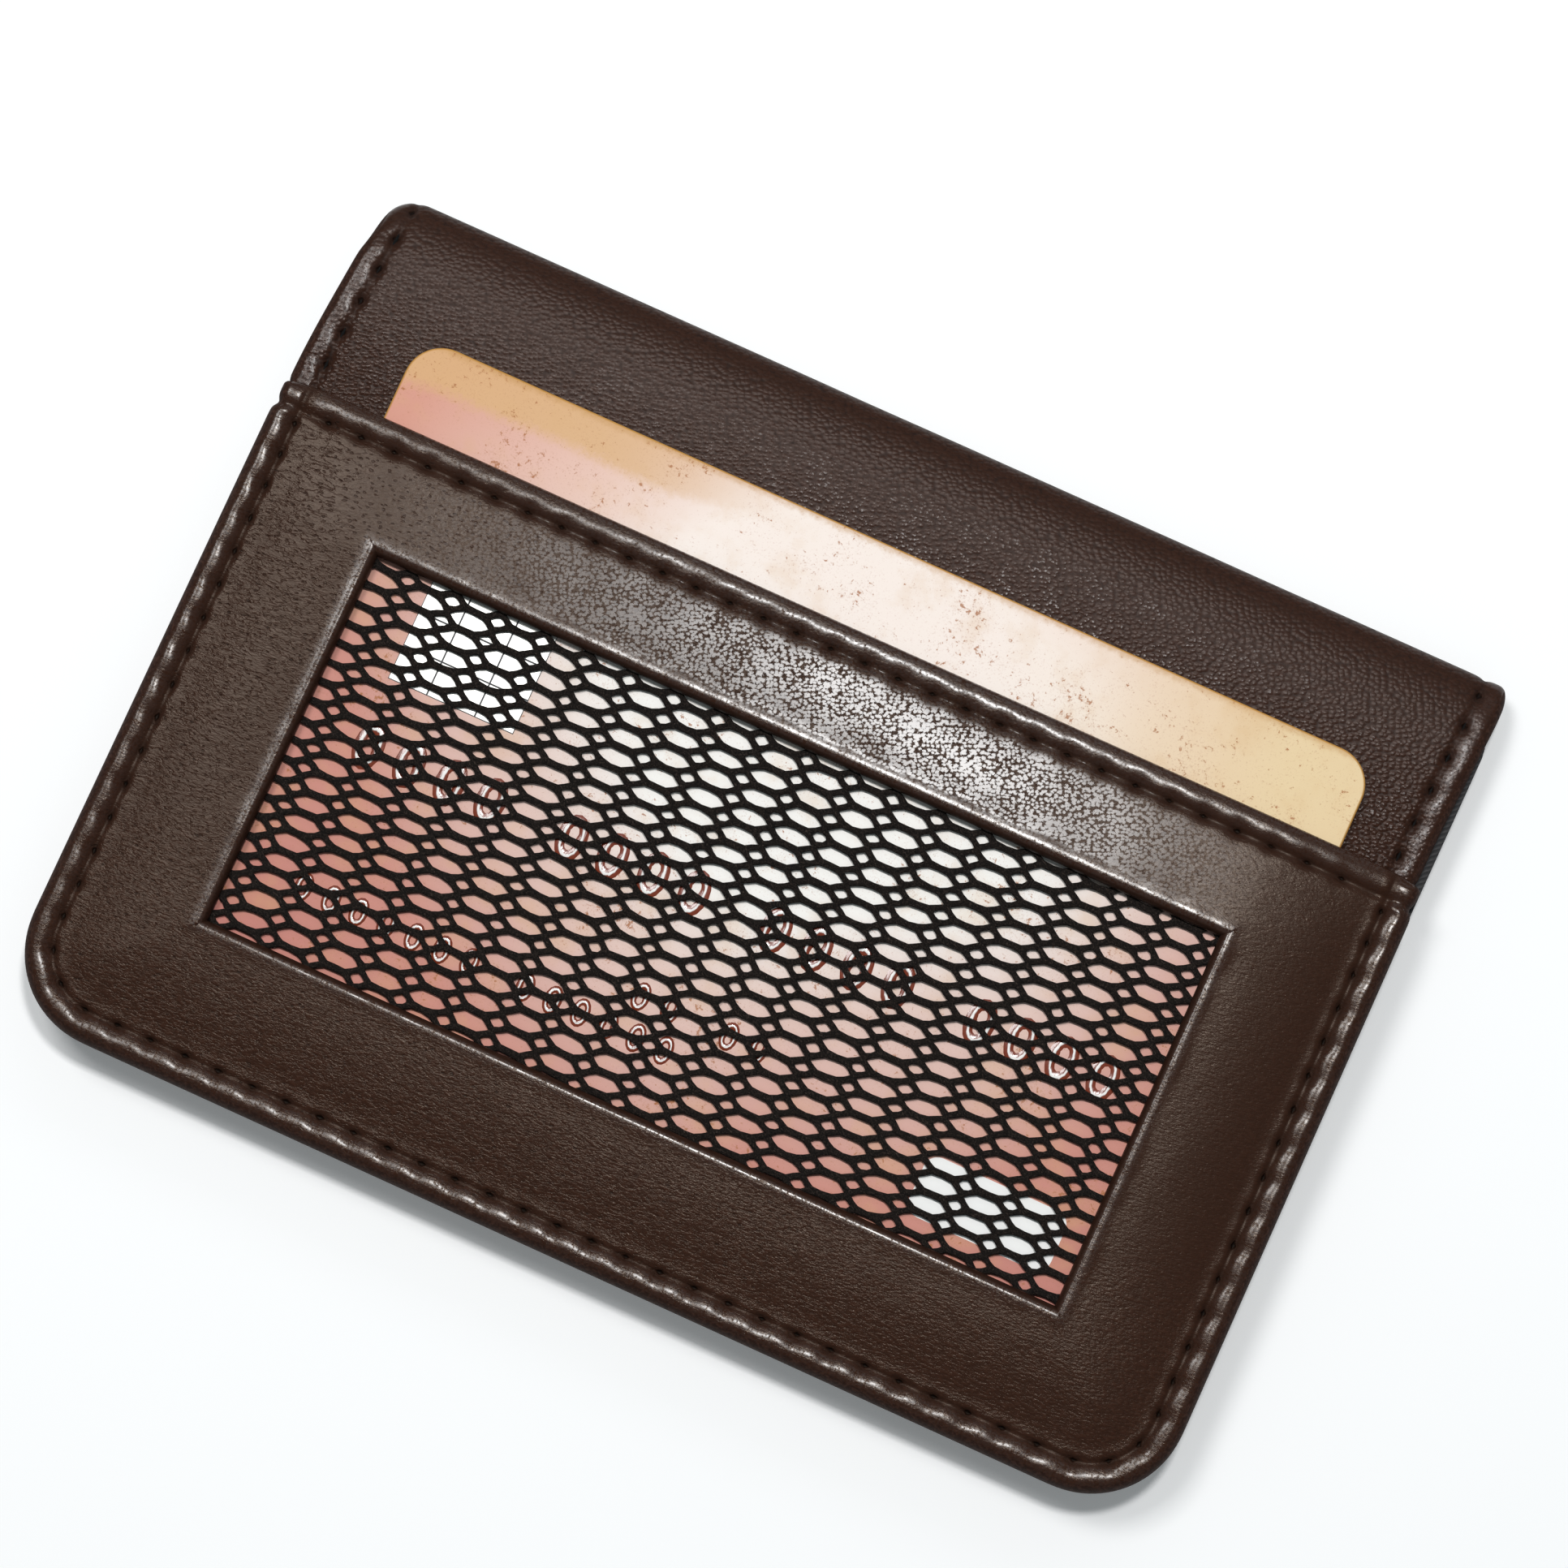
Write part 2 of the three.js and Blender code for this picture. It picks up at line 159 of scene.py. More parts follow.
class Shader:
    """A node material that is being put together."""

    def __init__(self, name: str) -> None:
        """Starts a material with one Principled shader."""
        self.material = bpy.data.materials.new(name)
        self.material.use_nodes = True
        self.tree = self.material.node_tree
        self.surface = next(n for n in self.tree.nodes if n.type == "BSDF_PRINCIPLED")
        self.closing = next(n for n in self.tree.nodes if n.type == "OUTPUT_MATERIAL")

    def node(
        self,
        kind: str,
        settings: dict[str, Any] | None = None,
        sockets: dict[int | str, Any] | None = None,
        output: int | str = 0,
    ) -> Value:
        """Adds a node.

        Args:
            kind: The node's type.
            settings: Its properties, set first; stops are a ramp's places and colours.
            sockets: The value or link of each input.
            output: The output to hand back.

        Returns:
            The wrapped output.
        """
        made = self.tree.nodes.new(kind)
        for key, value in (settings or {}).items():
            if key == "stops":
                self._stops(made.color_ramp, value)
            else:
                setattr(made, key, value)
        for key, value in (sockets or {}).items():
            self.feed(made.inputs[key], value)
        return Value(self, made.outputs[output])

    @staticmethod
    def _stops(ramp: bpy.types.ColorRamp, stops: Sequence[tuple[float, Colour]]) -> None:
        """Sets a ramp's stops."""
        while len(ramp.elements) < len(stops):
            ramp.elements.new(0.5)
        for element, (place, colour) in zip(ramp.elements, stops):
            element.position = place
            element.color = (*colour, 1.0)

    def feed(self, socket: bpy.types.NodeSocket, value: Any) -> None:
        """Links a value to a socket, or sets the socket's own number."""
        if isinstance(value, Value):
            self.tree.links.new(value.socket, socket)
        elif isinstance(value, tuple) and socket.type == "RGBA":
            socket.default_value = (*value, 1.0)
        else:
            socket.default_value = value

    def surface_set(self, **sockets: Any) -> None:
        """Feeds the Principled shader; a name's underscores stand for spaces."""
        for key, value in sockets.items():
            self.feed(self.surface.inputs[key.replace("_", " ")], value)

    def vector(self, operation: str, left: Value, right: Any) -> Value:
        """Adds one Vector Math node."""
        return self.node("ShaderNodeVectorMath", {"operation": operation}, {0: left, 1: right})

    def axis(self, place: Value, name: str) -> Value:
        """Gives one coordinate of a place."""
        return self.node("ShaderNodeSeparateXYZ", None, {0: place}, name)

    def place(self, turn: float = 0.0, scale: tuple[float, float, float] = (1, 1, 1)) -> Value:
        """Gives Object coordinates in mm.

        Args:
            turn: A turn about Z, in degrees.
            scale: A stretch along each axis after the turn.

        Returns:
            The mapped place.
        """
        here = self.node("ShaderNodeTexCoord", output="Object")
        turned = self.node(
            "ShaderNodeMapping",
            {"vector_type": "POINT"},
            {"Vector": here, "Rotation": (0.0, 0.0, math.radians(turn)), "Scale": (1 / MM,) * 3},
        )
        return self.vector("MULTIPLY", turned, scale)

    def warped(self, place: Value, size: float, amount: float) -> Value:
        """Shifts a place by a soft noise, so that a pattern loses its regularity."""
        sockets = {"Vector": place, "Scale": 1 / size, "Detail": 1.0}
        drift = self.node("ShaderNodeTexNoise", None, sockets, "Color")
        centred = self.vector("SUBTRACT", drift, (0.5,) * 3)
        return self.vector("ADD", place, self.vector("MULTIPLY", centred, (amount,) * 3))

    def clouds(self, place: Value, size: float, detail: float = 2.0, rough: float = 0.5) -> Value:
        """Gives noise from 0 to 1 with patches of a size in mm."""
        sockets = {"Vector": place, "Scale": 1 / size, "Detail": detail, "Roughness": rough}
        return self.node("ShaderNodeTexNoise", None, sockets)

    def cells(self, place: Value, size: float, loose: float = 1.0) -> Value:
        """Gives the distance to the nearest cell's middle, counted in cell sizes."""
        settings = {"feature": "F1", "voronoi_dimensions": "2D"}
        sockets = {"Vector": place, "Scale": 1 / size, "Randomness": loose}
        return self.node("ShaderNodeTexVoronoi", settings, sockets, "Distance")

    def ramp(self, value: Value, low: float, high: float, start: float = 0.0, end: float = 1.0) -> Value:
        """Eases a value's range low to high onto start to end."""
        settings = {"interpolation_type": "SMOOTHSTEP"}
        sockets = {"Value": value, "From Min": low, "From Max": high, "To Min": start, "To Max": end}
        return self.node("ShaderNodeMapRange", settings, sockets)

    def mix(self, share: Any, low: Any, high: Any) -> Value:
        """Mixes two colours by a share."""
        return self.node("ShaderNodeMix", {"data_type": "RGBA"}, {0: share, 6: low, 7: high}, 2)

    def attribute(self, name: str) -> Value:
        """Reads a number that is kept on the mesh's points."""
        settings = {"attribute_type": "GEOMETRY", "attribute_name": name}
        return self.node("ShaderNodeAttribute", settings, None, "Fac")

    def bump(self, height: Value, depth: float) -> Value:
        """Turns a height from 0 to 1 into a bumped normal, with a depth in mm."""
        sockets = {"Height": height, "Distance": depth * MM, "Strength": 1.0}
        return self.node("ShaderNodeBump", None, sockets, "Normal")


def toned(colour: Colour, share: float) -> Colour:
    """Makes a colour lighter or darker by a share."""
    return tuple(part * share for part in colour)


@dataclass(frozen=True)
class Leather:
    """A dyed hide with pebbled grain, hair pores and fine creases, with painted shade in its creases, pores
    and stitch holes.

    The grain rises from its quiet share to its full depth between two heights on the leaf, and the
    gloss, with wider pores, comes in between two heights and two sides.
    """

    name: str
    grain: float
    grain_depth: float
    grain_share: float
    pore: float
    pore_depth: float
    fine_depth: float
    fine_gain: float
    roughness: float
    gloss_roughness: float
    shine: float
    base: Colour = (0.026, 0.0099, 0.0056)
    # The colour of the painted shade in creases, pores, pebble gaps and seam valleys
    crease: Colour = (0.007, 0.0028, 0.002)
    quiet: float = 0.0
    grain_rise: tuple[float, float] = (-14.0, -24.0)
    gloss_rise: tuple[float, float] = (6.0, 11.0)
    gloss_side: tuple[float, float] = (-42.0, -2.0)
    gloss_end: tuple[float, float] = (42.0, 12.0)
    bead_roughness: float = 0.2
    rib_depth: float = 0.022
    gleam: float = 0.0
    flake_range: tuple[float, float] = (0.16, 0.42)
    crest: float = 0.5
    sheen_tint: Colour = (1.0, 0.87, 0.81)
    calm_side: tuple[float, float] = (10.0, 38.0)
    patch_depth: float = 0.04
    hole_depth: float = 0.12

    def make(self) -> bpy.types.Material:
        """Builds the hide's material."""
        s = Shader(self.name)
        place = s.place()
        x, y = s.axis(place, "X"), s.axis(place, "Y")

        # Two turned and stretched places: one for creases along the leaf, one for pebbles and pores
        long = s.warped(s.place(-4.0, (0.42, 1.0, 1.0)), 1.4, 0.3)
        upright = s.warped(s.place(-24.0, (0.78, 1.0, 1.0)), 1.2, 0.25)

        # Where the hide is glossy, and where its grain stands up
        gloss = s.ramp(y, *self.gloss_rise) * s.ramp(x, *self.gloss_side) * s.ramp(x, *self.gloss_end)
        grained = s.ramp(y, *self.grain_rise, self.quiet, 1.0)

        # Pebbles, pores, wrinkles and the fine nap between them
        rag = s.clouds(place, 0.5, 3.0, 0.65)
        dome = s.ramp(s.cells(upright, self.grain, 0.8) + (rag - 0.5) * 0.3, 0.85, 0.0)
        dashes = s.cells(s.warped(long, 0.3, 0.22), self.pore) + (rag - 0.5) * 0.6
        dots = s.cells(s.warped(upright, 0.4, 0.2), self.pore * 0.85) + (rag - 0.5) * 0.35
        pore = s.ramp(dashes, 0.04, 0.2) * (1.0 - gloss) + s.ramp(dots, 0.1, 0.42) * gloss
        wrinkle = s.ramp(abs(s.clouds(long, 0.8, 3.0, 0.6) - 0.5) + gloss, 0.0, 0.05)
        marks = 1.0 - (1.0 - (pore * 0.65 + wrinkle * 0.35)) * s.ramp(x, *self.calm_side, 1.0, 0.25)
        fine = s.clouds(long, 0.22, 3.0, 0.65)

        # Bright flakes where the hide is glossy, and slow patches of dye
        speck = (s.clouds(place, 0.15, 3.0, 0.7) - 0.5) * 1.3 + (s.clouds(place, 2.2, 2.0) - 0.5) * 0.6
        flake = s.ramp(dome * 0.6 + speck, *self.flake_range)
        patch = s.clouds(place, 9.0, 3.0)

        # Stitch holes, the valleys round them and the ribbed bead along an edge
        # The pit attribute carries painted shade: faint along the seam valleys and full in the stitch holes
        pit = s.attribute("pit")
        hole = s.ramp(pit + rag * 0.5, 0.72, 1.1)
        valley = s.ramp(pit, 0.0, 0.3)
        bead = s.attribute("bead")
        ribs = s.node("ShaderNodeCombineXYZ", None, {"X": s.attribute("along"), "Y": bead})
        rib = s.clouds(s.warped(ribs, 0.9, 0.4), 0.24, 2.0) * 0.4 + s.clouds(place, 0.2, 2.0) * 0.6
        flat = 1.0 - bead * 0.8
        crest = bead * s.ramp(rib, 0.4, 0.54)

        height = (
            (dome * grained * self.grain_depth + marks * self.pore_depth) * flat
            + fine * (0.9 + gloss * 0.6 + grained * self.fine_gain) * self.fine_depth
            + rib * bead * self.rib_depth
            + patch * self.patch_depth
            - hole * self.hole_depth
        )

        # Colour: painted shade darkens the creases, pores and pebble gaps, a painted highlight lightens the
        # raised nap, the ribbed bead is lighter, and painted shade darkens the seam valleys and blackens the
        # stitch holes
        # Painted shade: the creases, pores and the gaps between pebbles are darkened towards the crease
        # colour
        shade = s.ramp(dome * self.grain_share + marks * (1.0 - self.grain_share), 0.1, 0.7)
        tone = s.mix(1.0 - (1.0 - shade) * flat, self.crease, self.base)
        light = toned(self.base, 1.8)
        # Painted highlight: the raised nap, where the fine noise is high, is lightened
        nap_highlighted = s.mix(s.ramp(fine, 0.42, 0.64) * (0.35 + grained * 0.3), tone, light)
        patched = s.mix(patch * 0.4, nap_highlighted, toned(self.base, 1.3))
        # The bead is lighter along its ribs
        bead_lightened = s.mix(bead * rib * 0.35, patched, light)
        # Painted shade: the seam valleys are darkened towards the crease colour
        sunk = s.mix(valley * 0.35, bead_lightened, self.crease)
        even = self.roughness + (self.gloss_roughness - self.roughness) * gloss + (1.0 - shade) * 0.2
        s.surface_set(
            # Painted shade: the stitch holes are painted nearly black
            Base_Color=s.mix(hole * 0.95, sunk, toned(self.base, 0.1)),
            Roughness=even + (self.bead_roughness - even) * bead + valley * 0.25 + hole * 0.1,
            Normal=s.bump(height, 1.0),
            IOR=1.45,
            Specular_IOR_Level=self.shine,
            Specular_Tint=self.sheen_tint,
            Coat_Weight=(gloss * flake * self.gleam + crest * self.crest) * (1.0 - valley),
            Coat_Roughness=0.23,
        )
        return s.material


@dataclass(frozen=True)
class EdgeDye:
    """The matt, dyed outer side of a turned leather edge."""

    name: str = "dyed_edge"
    base: Colour = (0.026, 0.0115, 0.008)
    light: Colour = (0.055, 0.025, 0.017)

    def make(self) -> bpy.types.Material:
        """Builds the edge's material."""
        s = Shader(self.name)
        rub = s.clouds(s.warped(s.place(), 0.8, 0.4), 0.3, 3.0, 0.6)
        s.surface_set(
            Base_Color=s.mix(s.ramp(rub, 0.4, 0.7), self.base, self.light),
            Roughness=0.7 - rub * 0.1,
            Normal=s.bump(rub, 0.03),
            Specular_IOR_Level=0.06,
        )
        return s.material


@dataclass(frozen=True)
class Cloth:
    """A woven lining or tape."""

    name: str
    base: Colour
    light: Colour
    pitch: float
    roughness: float

    def make(self) -> bpy.types.Material:
        """Builds the weave's material."""
        s = Shader(self.name)
        twill = s.node(
            "ShaderNodeTexWave",
            {"bands_direction": "X"},
            {"Vector": s.place(45.0), "Scale": 0.314 / self.pitch, "Distortion": 0.6, "Detail": 1.0},
            "Fac",
        )
        weft = s.node(
            "ShaderNodeTexWave",
            {"bands_direction": "Y"},
            {"Vector": s.place(), "Scale": 0.22 / self.pitch, "Distortion": 0.4},
            "Fac",
        )
        fuzz = s.clouds(s.place(), 0.3, 3.0)
        height = twill * 0.6 + weft * 0.25 + fuzz * 0.3
        s.surface_set(
            Base_Color=s.mix(s.ramp(height, 0.3, 0.95), self.base, self.light),
            Roughness=self.roughness - fuzz * 0.1,
            Normal=s.bump(height, 0.06),
        )
        return s.material


@dataclass(frozen=True)
class Yarn:
    """A spun thread or knitted cord."""

    name: str
    base: Colour
    light: Colour
    strand: float
    roughness: float

    def make(self) -> bpy.types.Material:
        """Builds the yarn's material."""
        s = Shader(self.name)
        strands = s.clouds(s.warped(s.place(30.0, (1.0, 2.4, 1.0)), 0.6, 0.5), self.strand, 3.0, 0.65)
        s.surface_set(
            Base_Color=s.mix(s.ramp(strands, 0.46, 0.8), self.base, self.light),
            Roughness=self.roughness - strands * 0.12,
            Normal=s.bump(strands, 0.12),
            Specular_IOR_Level=0.2,
        )
        return s.material


@dataclass(frozen=True)
class Board:
    """A bonded fibre board."""

    name: str = "fibre_board"
    base: Colour = (0.16, 0.14, 0.12)
    light: Colour = (0.3, 0.26, 0.2)

    def make(self) -> bpy.types.Material:
        """Builds the board's material."""
        s = Shader(self.name)
        fibre = s.clouds(s.warped(s.place(0.0, (1.0, 3.0, 1.0)), 3.0, 2.0), 0.7, 4.0, 0.7)
        s.surface_set(
            Base_Color=s.mix(s.ramp(fibre, 0.35, 0.7), self.base, self.light),
            Roughness=0.85 - fibre * 0.1,
            Normal=s.bump(fibre, 0.05),
        )
        return s.material


@dataclass(frozen=True)
class CardPrint:
    """A laminated print of soft warm clouds with paper flecks and a gilt edge."""

    name: str = "card_print"
    bright_spot: tuple[float, float, float] = (3.0, 12.0, 0.0)
    spread: tuple[float, float, float] = (1 / 72.0, 1 / 62.0, 0.0)
    cream: Colour = (0.96, 0.93, 0.885)
    apricot: Colour = (0.88, 0.47, 0.3)
    blush: Colour = (0.79, 0.58, 0.51)
    salmon: Colour = (0.62, 0.26, 0.205)
    rose: Colour = (0.52, 0.17, 0.14)
    gold: Colour = (0.69, 0.41, 0.17)
    tan: Colour = (0.83, 0.65, 0.37)
    gilt: Colour = (0.52, 0.26, 0.06)
    fleck: Colour = (0.42, 0.16, 0.06)

    def make(self) -> bpy.types.Material:
        """Builds the print's material."""
        s = Shader(self.name)
        place = s.place()
        drift = s.warped(place, 22.0, 11.0)
        x, y = s.axis(drift, "X"), s.axis(drift, "Y")

        # Rings of colour round the bright spot, warmer above, with a gold band and a tan right end
        eased = s.vector("MULTIPLY", s.vector("SUBTRACT", drift, self.bright_spot), self.spread)
        far = s.node("ShaderNodeVectorMath", {"operation": "LENGTH"}, {0: eased}, "Value")
        stops = [(0.27, self.cream), (0.41, self.blush), (0.6, self.salmon), (0.95, self.rose)]
        ground = s.node("ShaderNodeValToRGB", {"stops": stops}, {"Fac": far}, "Color")
        grit = s.clouds(s.warped(place, 2.0, 1.0), 0.5, 4.0, 0.7)
        upper = s.mix(s.ramp(y, 8.0, 22.0) * 0.23, ground, self.apricot)
        band = s.ramp(y - x * 0.05 + grit * 1.6, 24.6, 26.2) * s.ramp(x, -4.0, -28.0)
        gilded = s.mix(band * 0.8, upper, self.gold)
        right = s.ramp(x, 12.0, 38.0) * s.ramp(y, 11.0, 20.0)
        rim = s.ramp(s.axis(place, "Y") + grit * 0.9, 26.5, 27.2) * 0.55
        warm = s.mix(rim, s.mix(right * 0.9, gilded, self.tan), self.gilt)

        # Age, scratches and dust
        mottle = s.clouds(place, 4.0, 4.0, 0.6)
        aged = s.mix(s.ramp(mottle, 0.45, 0.75) * 0.3, warm, self.gold)
        where = s.clouds(place, 6.0, 2.0)
        scratch = s.clouds(s.warped(s.place(14.0, (0.12, 3.0, 1.0)), 3.0, 1.2), 0.9, 3.0, 0.6)
        specks = s.ramp(grit + where * 0.4 + s.ramp(scratch, 0.6, 0.8) * 0.12, 0.83, 0.9)
        dust = s.clouds(place, 0.16, 2.0, 0.7)
        flecked = s.mix(specks * 0.8 + s.ramp(dust + where * 0.3, 0.72, 0.9) * 0.3, aged, self.fleck)
        s.surface_set(
            Base_Color=s.mix(s.attribute("edge"), flecked, self.gilt),
            Roughness=0.46 + specks * 0.2 + mottle * 0.08,
            Normal=s.bump(grit, 0.01),
            Specular_IOR_Level=0.25,
        )
        return s.material


@dataclass(frozen=True)
class RaisedPlastic:
    """Raised card figures with a painted highlight on the pale tip and painted shade on the darker flank."""

    name: str = "raised_figures"
    # The painted shade of the flank and the painted highlight of the tip
    flank: Colour = (0.2, 0.034, 0.012)
    tip: Colour = (0.9, 0.88, 0.85)

    def make(self) -> bpy.types.Material:
        """Builds the figures' material."""
        s = Shader(self.name)
        rub = s.clouds(s.place(0.0, (2.6, 0.5, 1.0)), 0.5, 2.0)
        height = s.attribute("tip")
        # Painted highlight on the top points, broken up by a noise; painted shade elsewhere
        tip_highlight = s.ramp(height + rub * 0.6, 0.78, 1.08)
        s.surface_set(
            Base_Color=s.mix(tip_highlight, self.flank, self.tip),
            Roughness=0.16 + rub * 0.12,
            Normal=s.bump(rub, 0.02),
            Coat_Weight=0.4,
        )
        return s.material


@dataclass(frozen=True)
class PlainInk:
    """A plain printed white panel on the card."""

    name: str = "white_panel"
    base: Colour = (0.9, 0.89, 0.87)

    def make(self) -> bpy.types.Material:
        """Builds the ink's material."""
        s = Shader(self.name)
        grit = s.clouds(s.place(), 0.8, 3.0, 0.6)
        s.surface_set(
            Base_Color=s.mix(grit * 0.2, self.base, toned(self.base, 0.85)),
            Roughness=0.4 + grit * 0.1,
            Normal=s.bump(grit, 0.008),
        )
        return s.material


@dataclass(frozen=True)
class ContactMetal:
    """The bright plating of the card's contact plate."""

    name: str = "contact_plating"
    base: Colour = (0.93, 0.91, 0.86)
    line: Colour = (0.05, 0.05, 0.06)

    def make(self) -> bpy.types.Material:
        """Builds the plating's material."""
        s = Shader(self.name)
        brushed = s.clouds(s.place(0.0, (0.4, 6.0, 1.0)), 0.6, 3.0)
        s.surface_set(
            Base_Color=s.mix(
                s.ramp(s.attribute("gap"), 0.2, 0.7),
                s.mix(brushed * 0.3, self.base, toned(self.base, 0.8)),
                self.line,
            ),
            Metallic=0.45,
            Roughness=0.3 + brushed * 0.12,
            Normal=s.bump(brushed, 0.004),
        )
        return s.material


class Finishes:
    """Every finish of the wallet, made once."""

    def __init__(self) -> None:
        """Makes the materials."""
        self.panel = Leather(
            name="window_hide",
            grain=0.3,
            grain_depth=0.006,
            grain_share=0.0,
            pore=0.42,
            pore_depth=0.034,
            fine_depth=0.03,
            fine_gain=0.6,
            roughness=0.27,
            gloss_roughness=0.4,
            shine=0.24,
            gleam=0.64,
            crest=1.0,
            gloss_side=(-46.0, -4.0),
            sheen_tint=(1.0, 0.84, 0.7),
        ).make()
        self.cover = Leather(
            name="pebbled_hide",
            grain=0.38,
            grain_depth=0.06,
            grain_share=0.65,
            pore=0.5,
            pore_depth=0.003,
            fine_depth=0.01,
            fine_gain=0.5,
            roughness=0.38,
            gloss_roughness=0.28,
            shine=0.21,
            quiet=0.5,
            grain_rise=(32.0, 20.0),
            gloss_rise=(36.0, 20.0),
            gloss_side=(-200.0, -190.0),
            gloss_end=(200.0, 190.0),
            gleam=0.6,
            flake_range=(0.58, 0.78),
        ).make()
        self.slot = Leather(
            name="slot_hide",
            grain=0.5,
            grain_depth=0.035,
            grain_share=0.4,
            pore=0.5,
            pore_depth=0.016,
            fine_depth=0.012,
            fine_gain=0.5,
            roughness=0.34,
            gloss_roughness=0.34,
            shine=0.36,
            quiet=0.8,
        ).make()
        self.edge = EdgeDye().make()
        self.lining = Cloth("black_twill", (0.008, 0.008, 0.009), (0.035, 0.033, 0.034), 0.35, 0.8).make()
        self.tape = Cloth("white_tape", (0.5, 0.47, 0.42), (0.78, 0.75, 0.7), 0.3, 0.85).make()
        self.thread = Yarn("black_thread", (0.004, 0.004, 0.004), (0.014, 0.015, 0.014), 0.18, 0.85).make()
        self.net = Yarn("black_net_cord", (0.004, 0.0026, 0.002), (0.09, 0.064, 0.052), 0.13, 0.95).make()
        self.board = Board().make()
        self.card = CardPrint().make()
        self.figures = RaisedPlastic().make()
        self.ink = PlainInk().make()
        self.chip = ContactMetal().make()


# Mesh making


@dataclass(frozen=True)
class EdgeRow:
    """One row of points across a sewn, turned edge, in mm.

    The inset counts from the outer edge, the rise from the sheet's face, and the pinch is what a
    stitch takes off the rise.
    """

    inset: float
    rise: float
    pinch: float = 0.0


def rows_of(*rows: tuple[float, ...]) -> tuple[EdgeRow, ...]:
    """Makes edge rows from plain tuples."""
    return tuple(EdgeRow(*row) for row in rows)


class Rounds(Enum):
    """What a bevel rounds off."""

    CORNERS = "VERTICES"
    EDGES = "EDGES"


def points_of(made: Iterable[Any]) -> list[bmesh.types.BMVert]:
    """Picks the points out of an operator's result."""
    return [g for g in made if isinstance(g, bmesh.types.BMVert)]


def borders_of(made: Iterable[Any]) -> list[bmesh.types.BMEdge]:
    """Picks the open border's edges out of an operator's result."""
    return [g for g in made if isinstance(g, bmesh.types.BMEdge) and g.is_boundary]


def round_off(mesh: bmesh.types.BMesh, geom: list[Any], what: Rounds, radius: float, segments: int) -> None:
    """Rounds off some corners or edges of a mesh.

    Args:
        mesh: The mesh to work on.
        geom: The points or the edges to round.
        what: Whether they are corners or edges.
        radius: How far the rounding reaches, in mm.
        segments: How many flats make the arc.
    """
    bmesh.ops.bevel(
        mesh, geom=geom, offset=radius, offset_type="OFFSET", segments=segments,
        profile=0.5, affect=what.value, material=-1,
    )


def flat_plate(wide: float, tall: float, middle: tuple[float, float, float]) -> bmesh.types.BMesh:
    """Starts a flat plate of one face.

    Args:
        wide: Its size along X, in mm.
        tall: Its size along Y, in mm.
        middle: Where its middle lies.

    Returns:
        The new bmesh.
    """
    plate = bmesh.new()
    bmesh.ops.create_grid(plate, x_segments=1, y_segments=1, size=0.5)
    bmesh.ops.scale(plate, vec=(wide, tall, 1.0), verts=plate.verts)
    bmesh.ops.translate(plate, vec=middle, verts=plate.verts)
    return plate


def thicken(plate: bmesh.types.BMesh, height: float) -> bmesh.types.BMFace:
    """Gives a plate its height and hands back the moved face."""
    made = bmesh.ops.extrude_face_region(plate, geom=list(plate.faces))["geom"]
    bmesh.ops.translate(plate, vec=(0.0, 0.0, height), verts=points_of(made))
    return next(g for g in made if isinstance(g, bmesh.types.BMFace))


def start_ring(ring: list[bmesh.types.BMVert], place: Vector, way: float) -> None:
    """Turns a ring of points round, in place.

    Args:
        ring: The ring's points, in order.
        place: The point nearest to this place comes first.
        way: 1 if the ring then goes up along Y, -1 if it goes down.
    """
    start = min(range(len(ring)), key=lambda n: (ring[n].co - place).length)
    turned = ring[start:] + ring[:start]
    if (turned[1].co.y - turned[0].co.y) * way < 0.0:
        turned = [turned[0], *reversed(turned[1:])]
    ring[:] = turned


def seam_shade(off: float, width: float, hole: float) -> float:
    """Gives the painted shade of a seam's groove: faint along it and full in a stitch hole.

    Args:
        off: How far the place lies from the seam's line.
        width: The groove's half width.
        hole: 1 at a stitch hole, 0 between holes.

    Returns:
        The painted shade, from 0 to 1.
    """
    near = max(0.0, 1.0 - abs(off) / width)
    return near * (GROOVE_SHADE + (1.0 - GROOVE_SHADE) * hole)


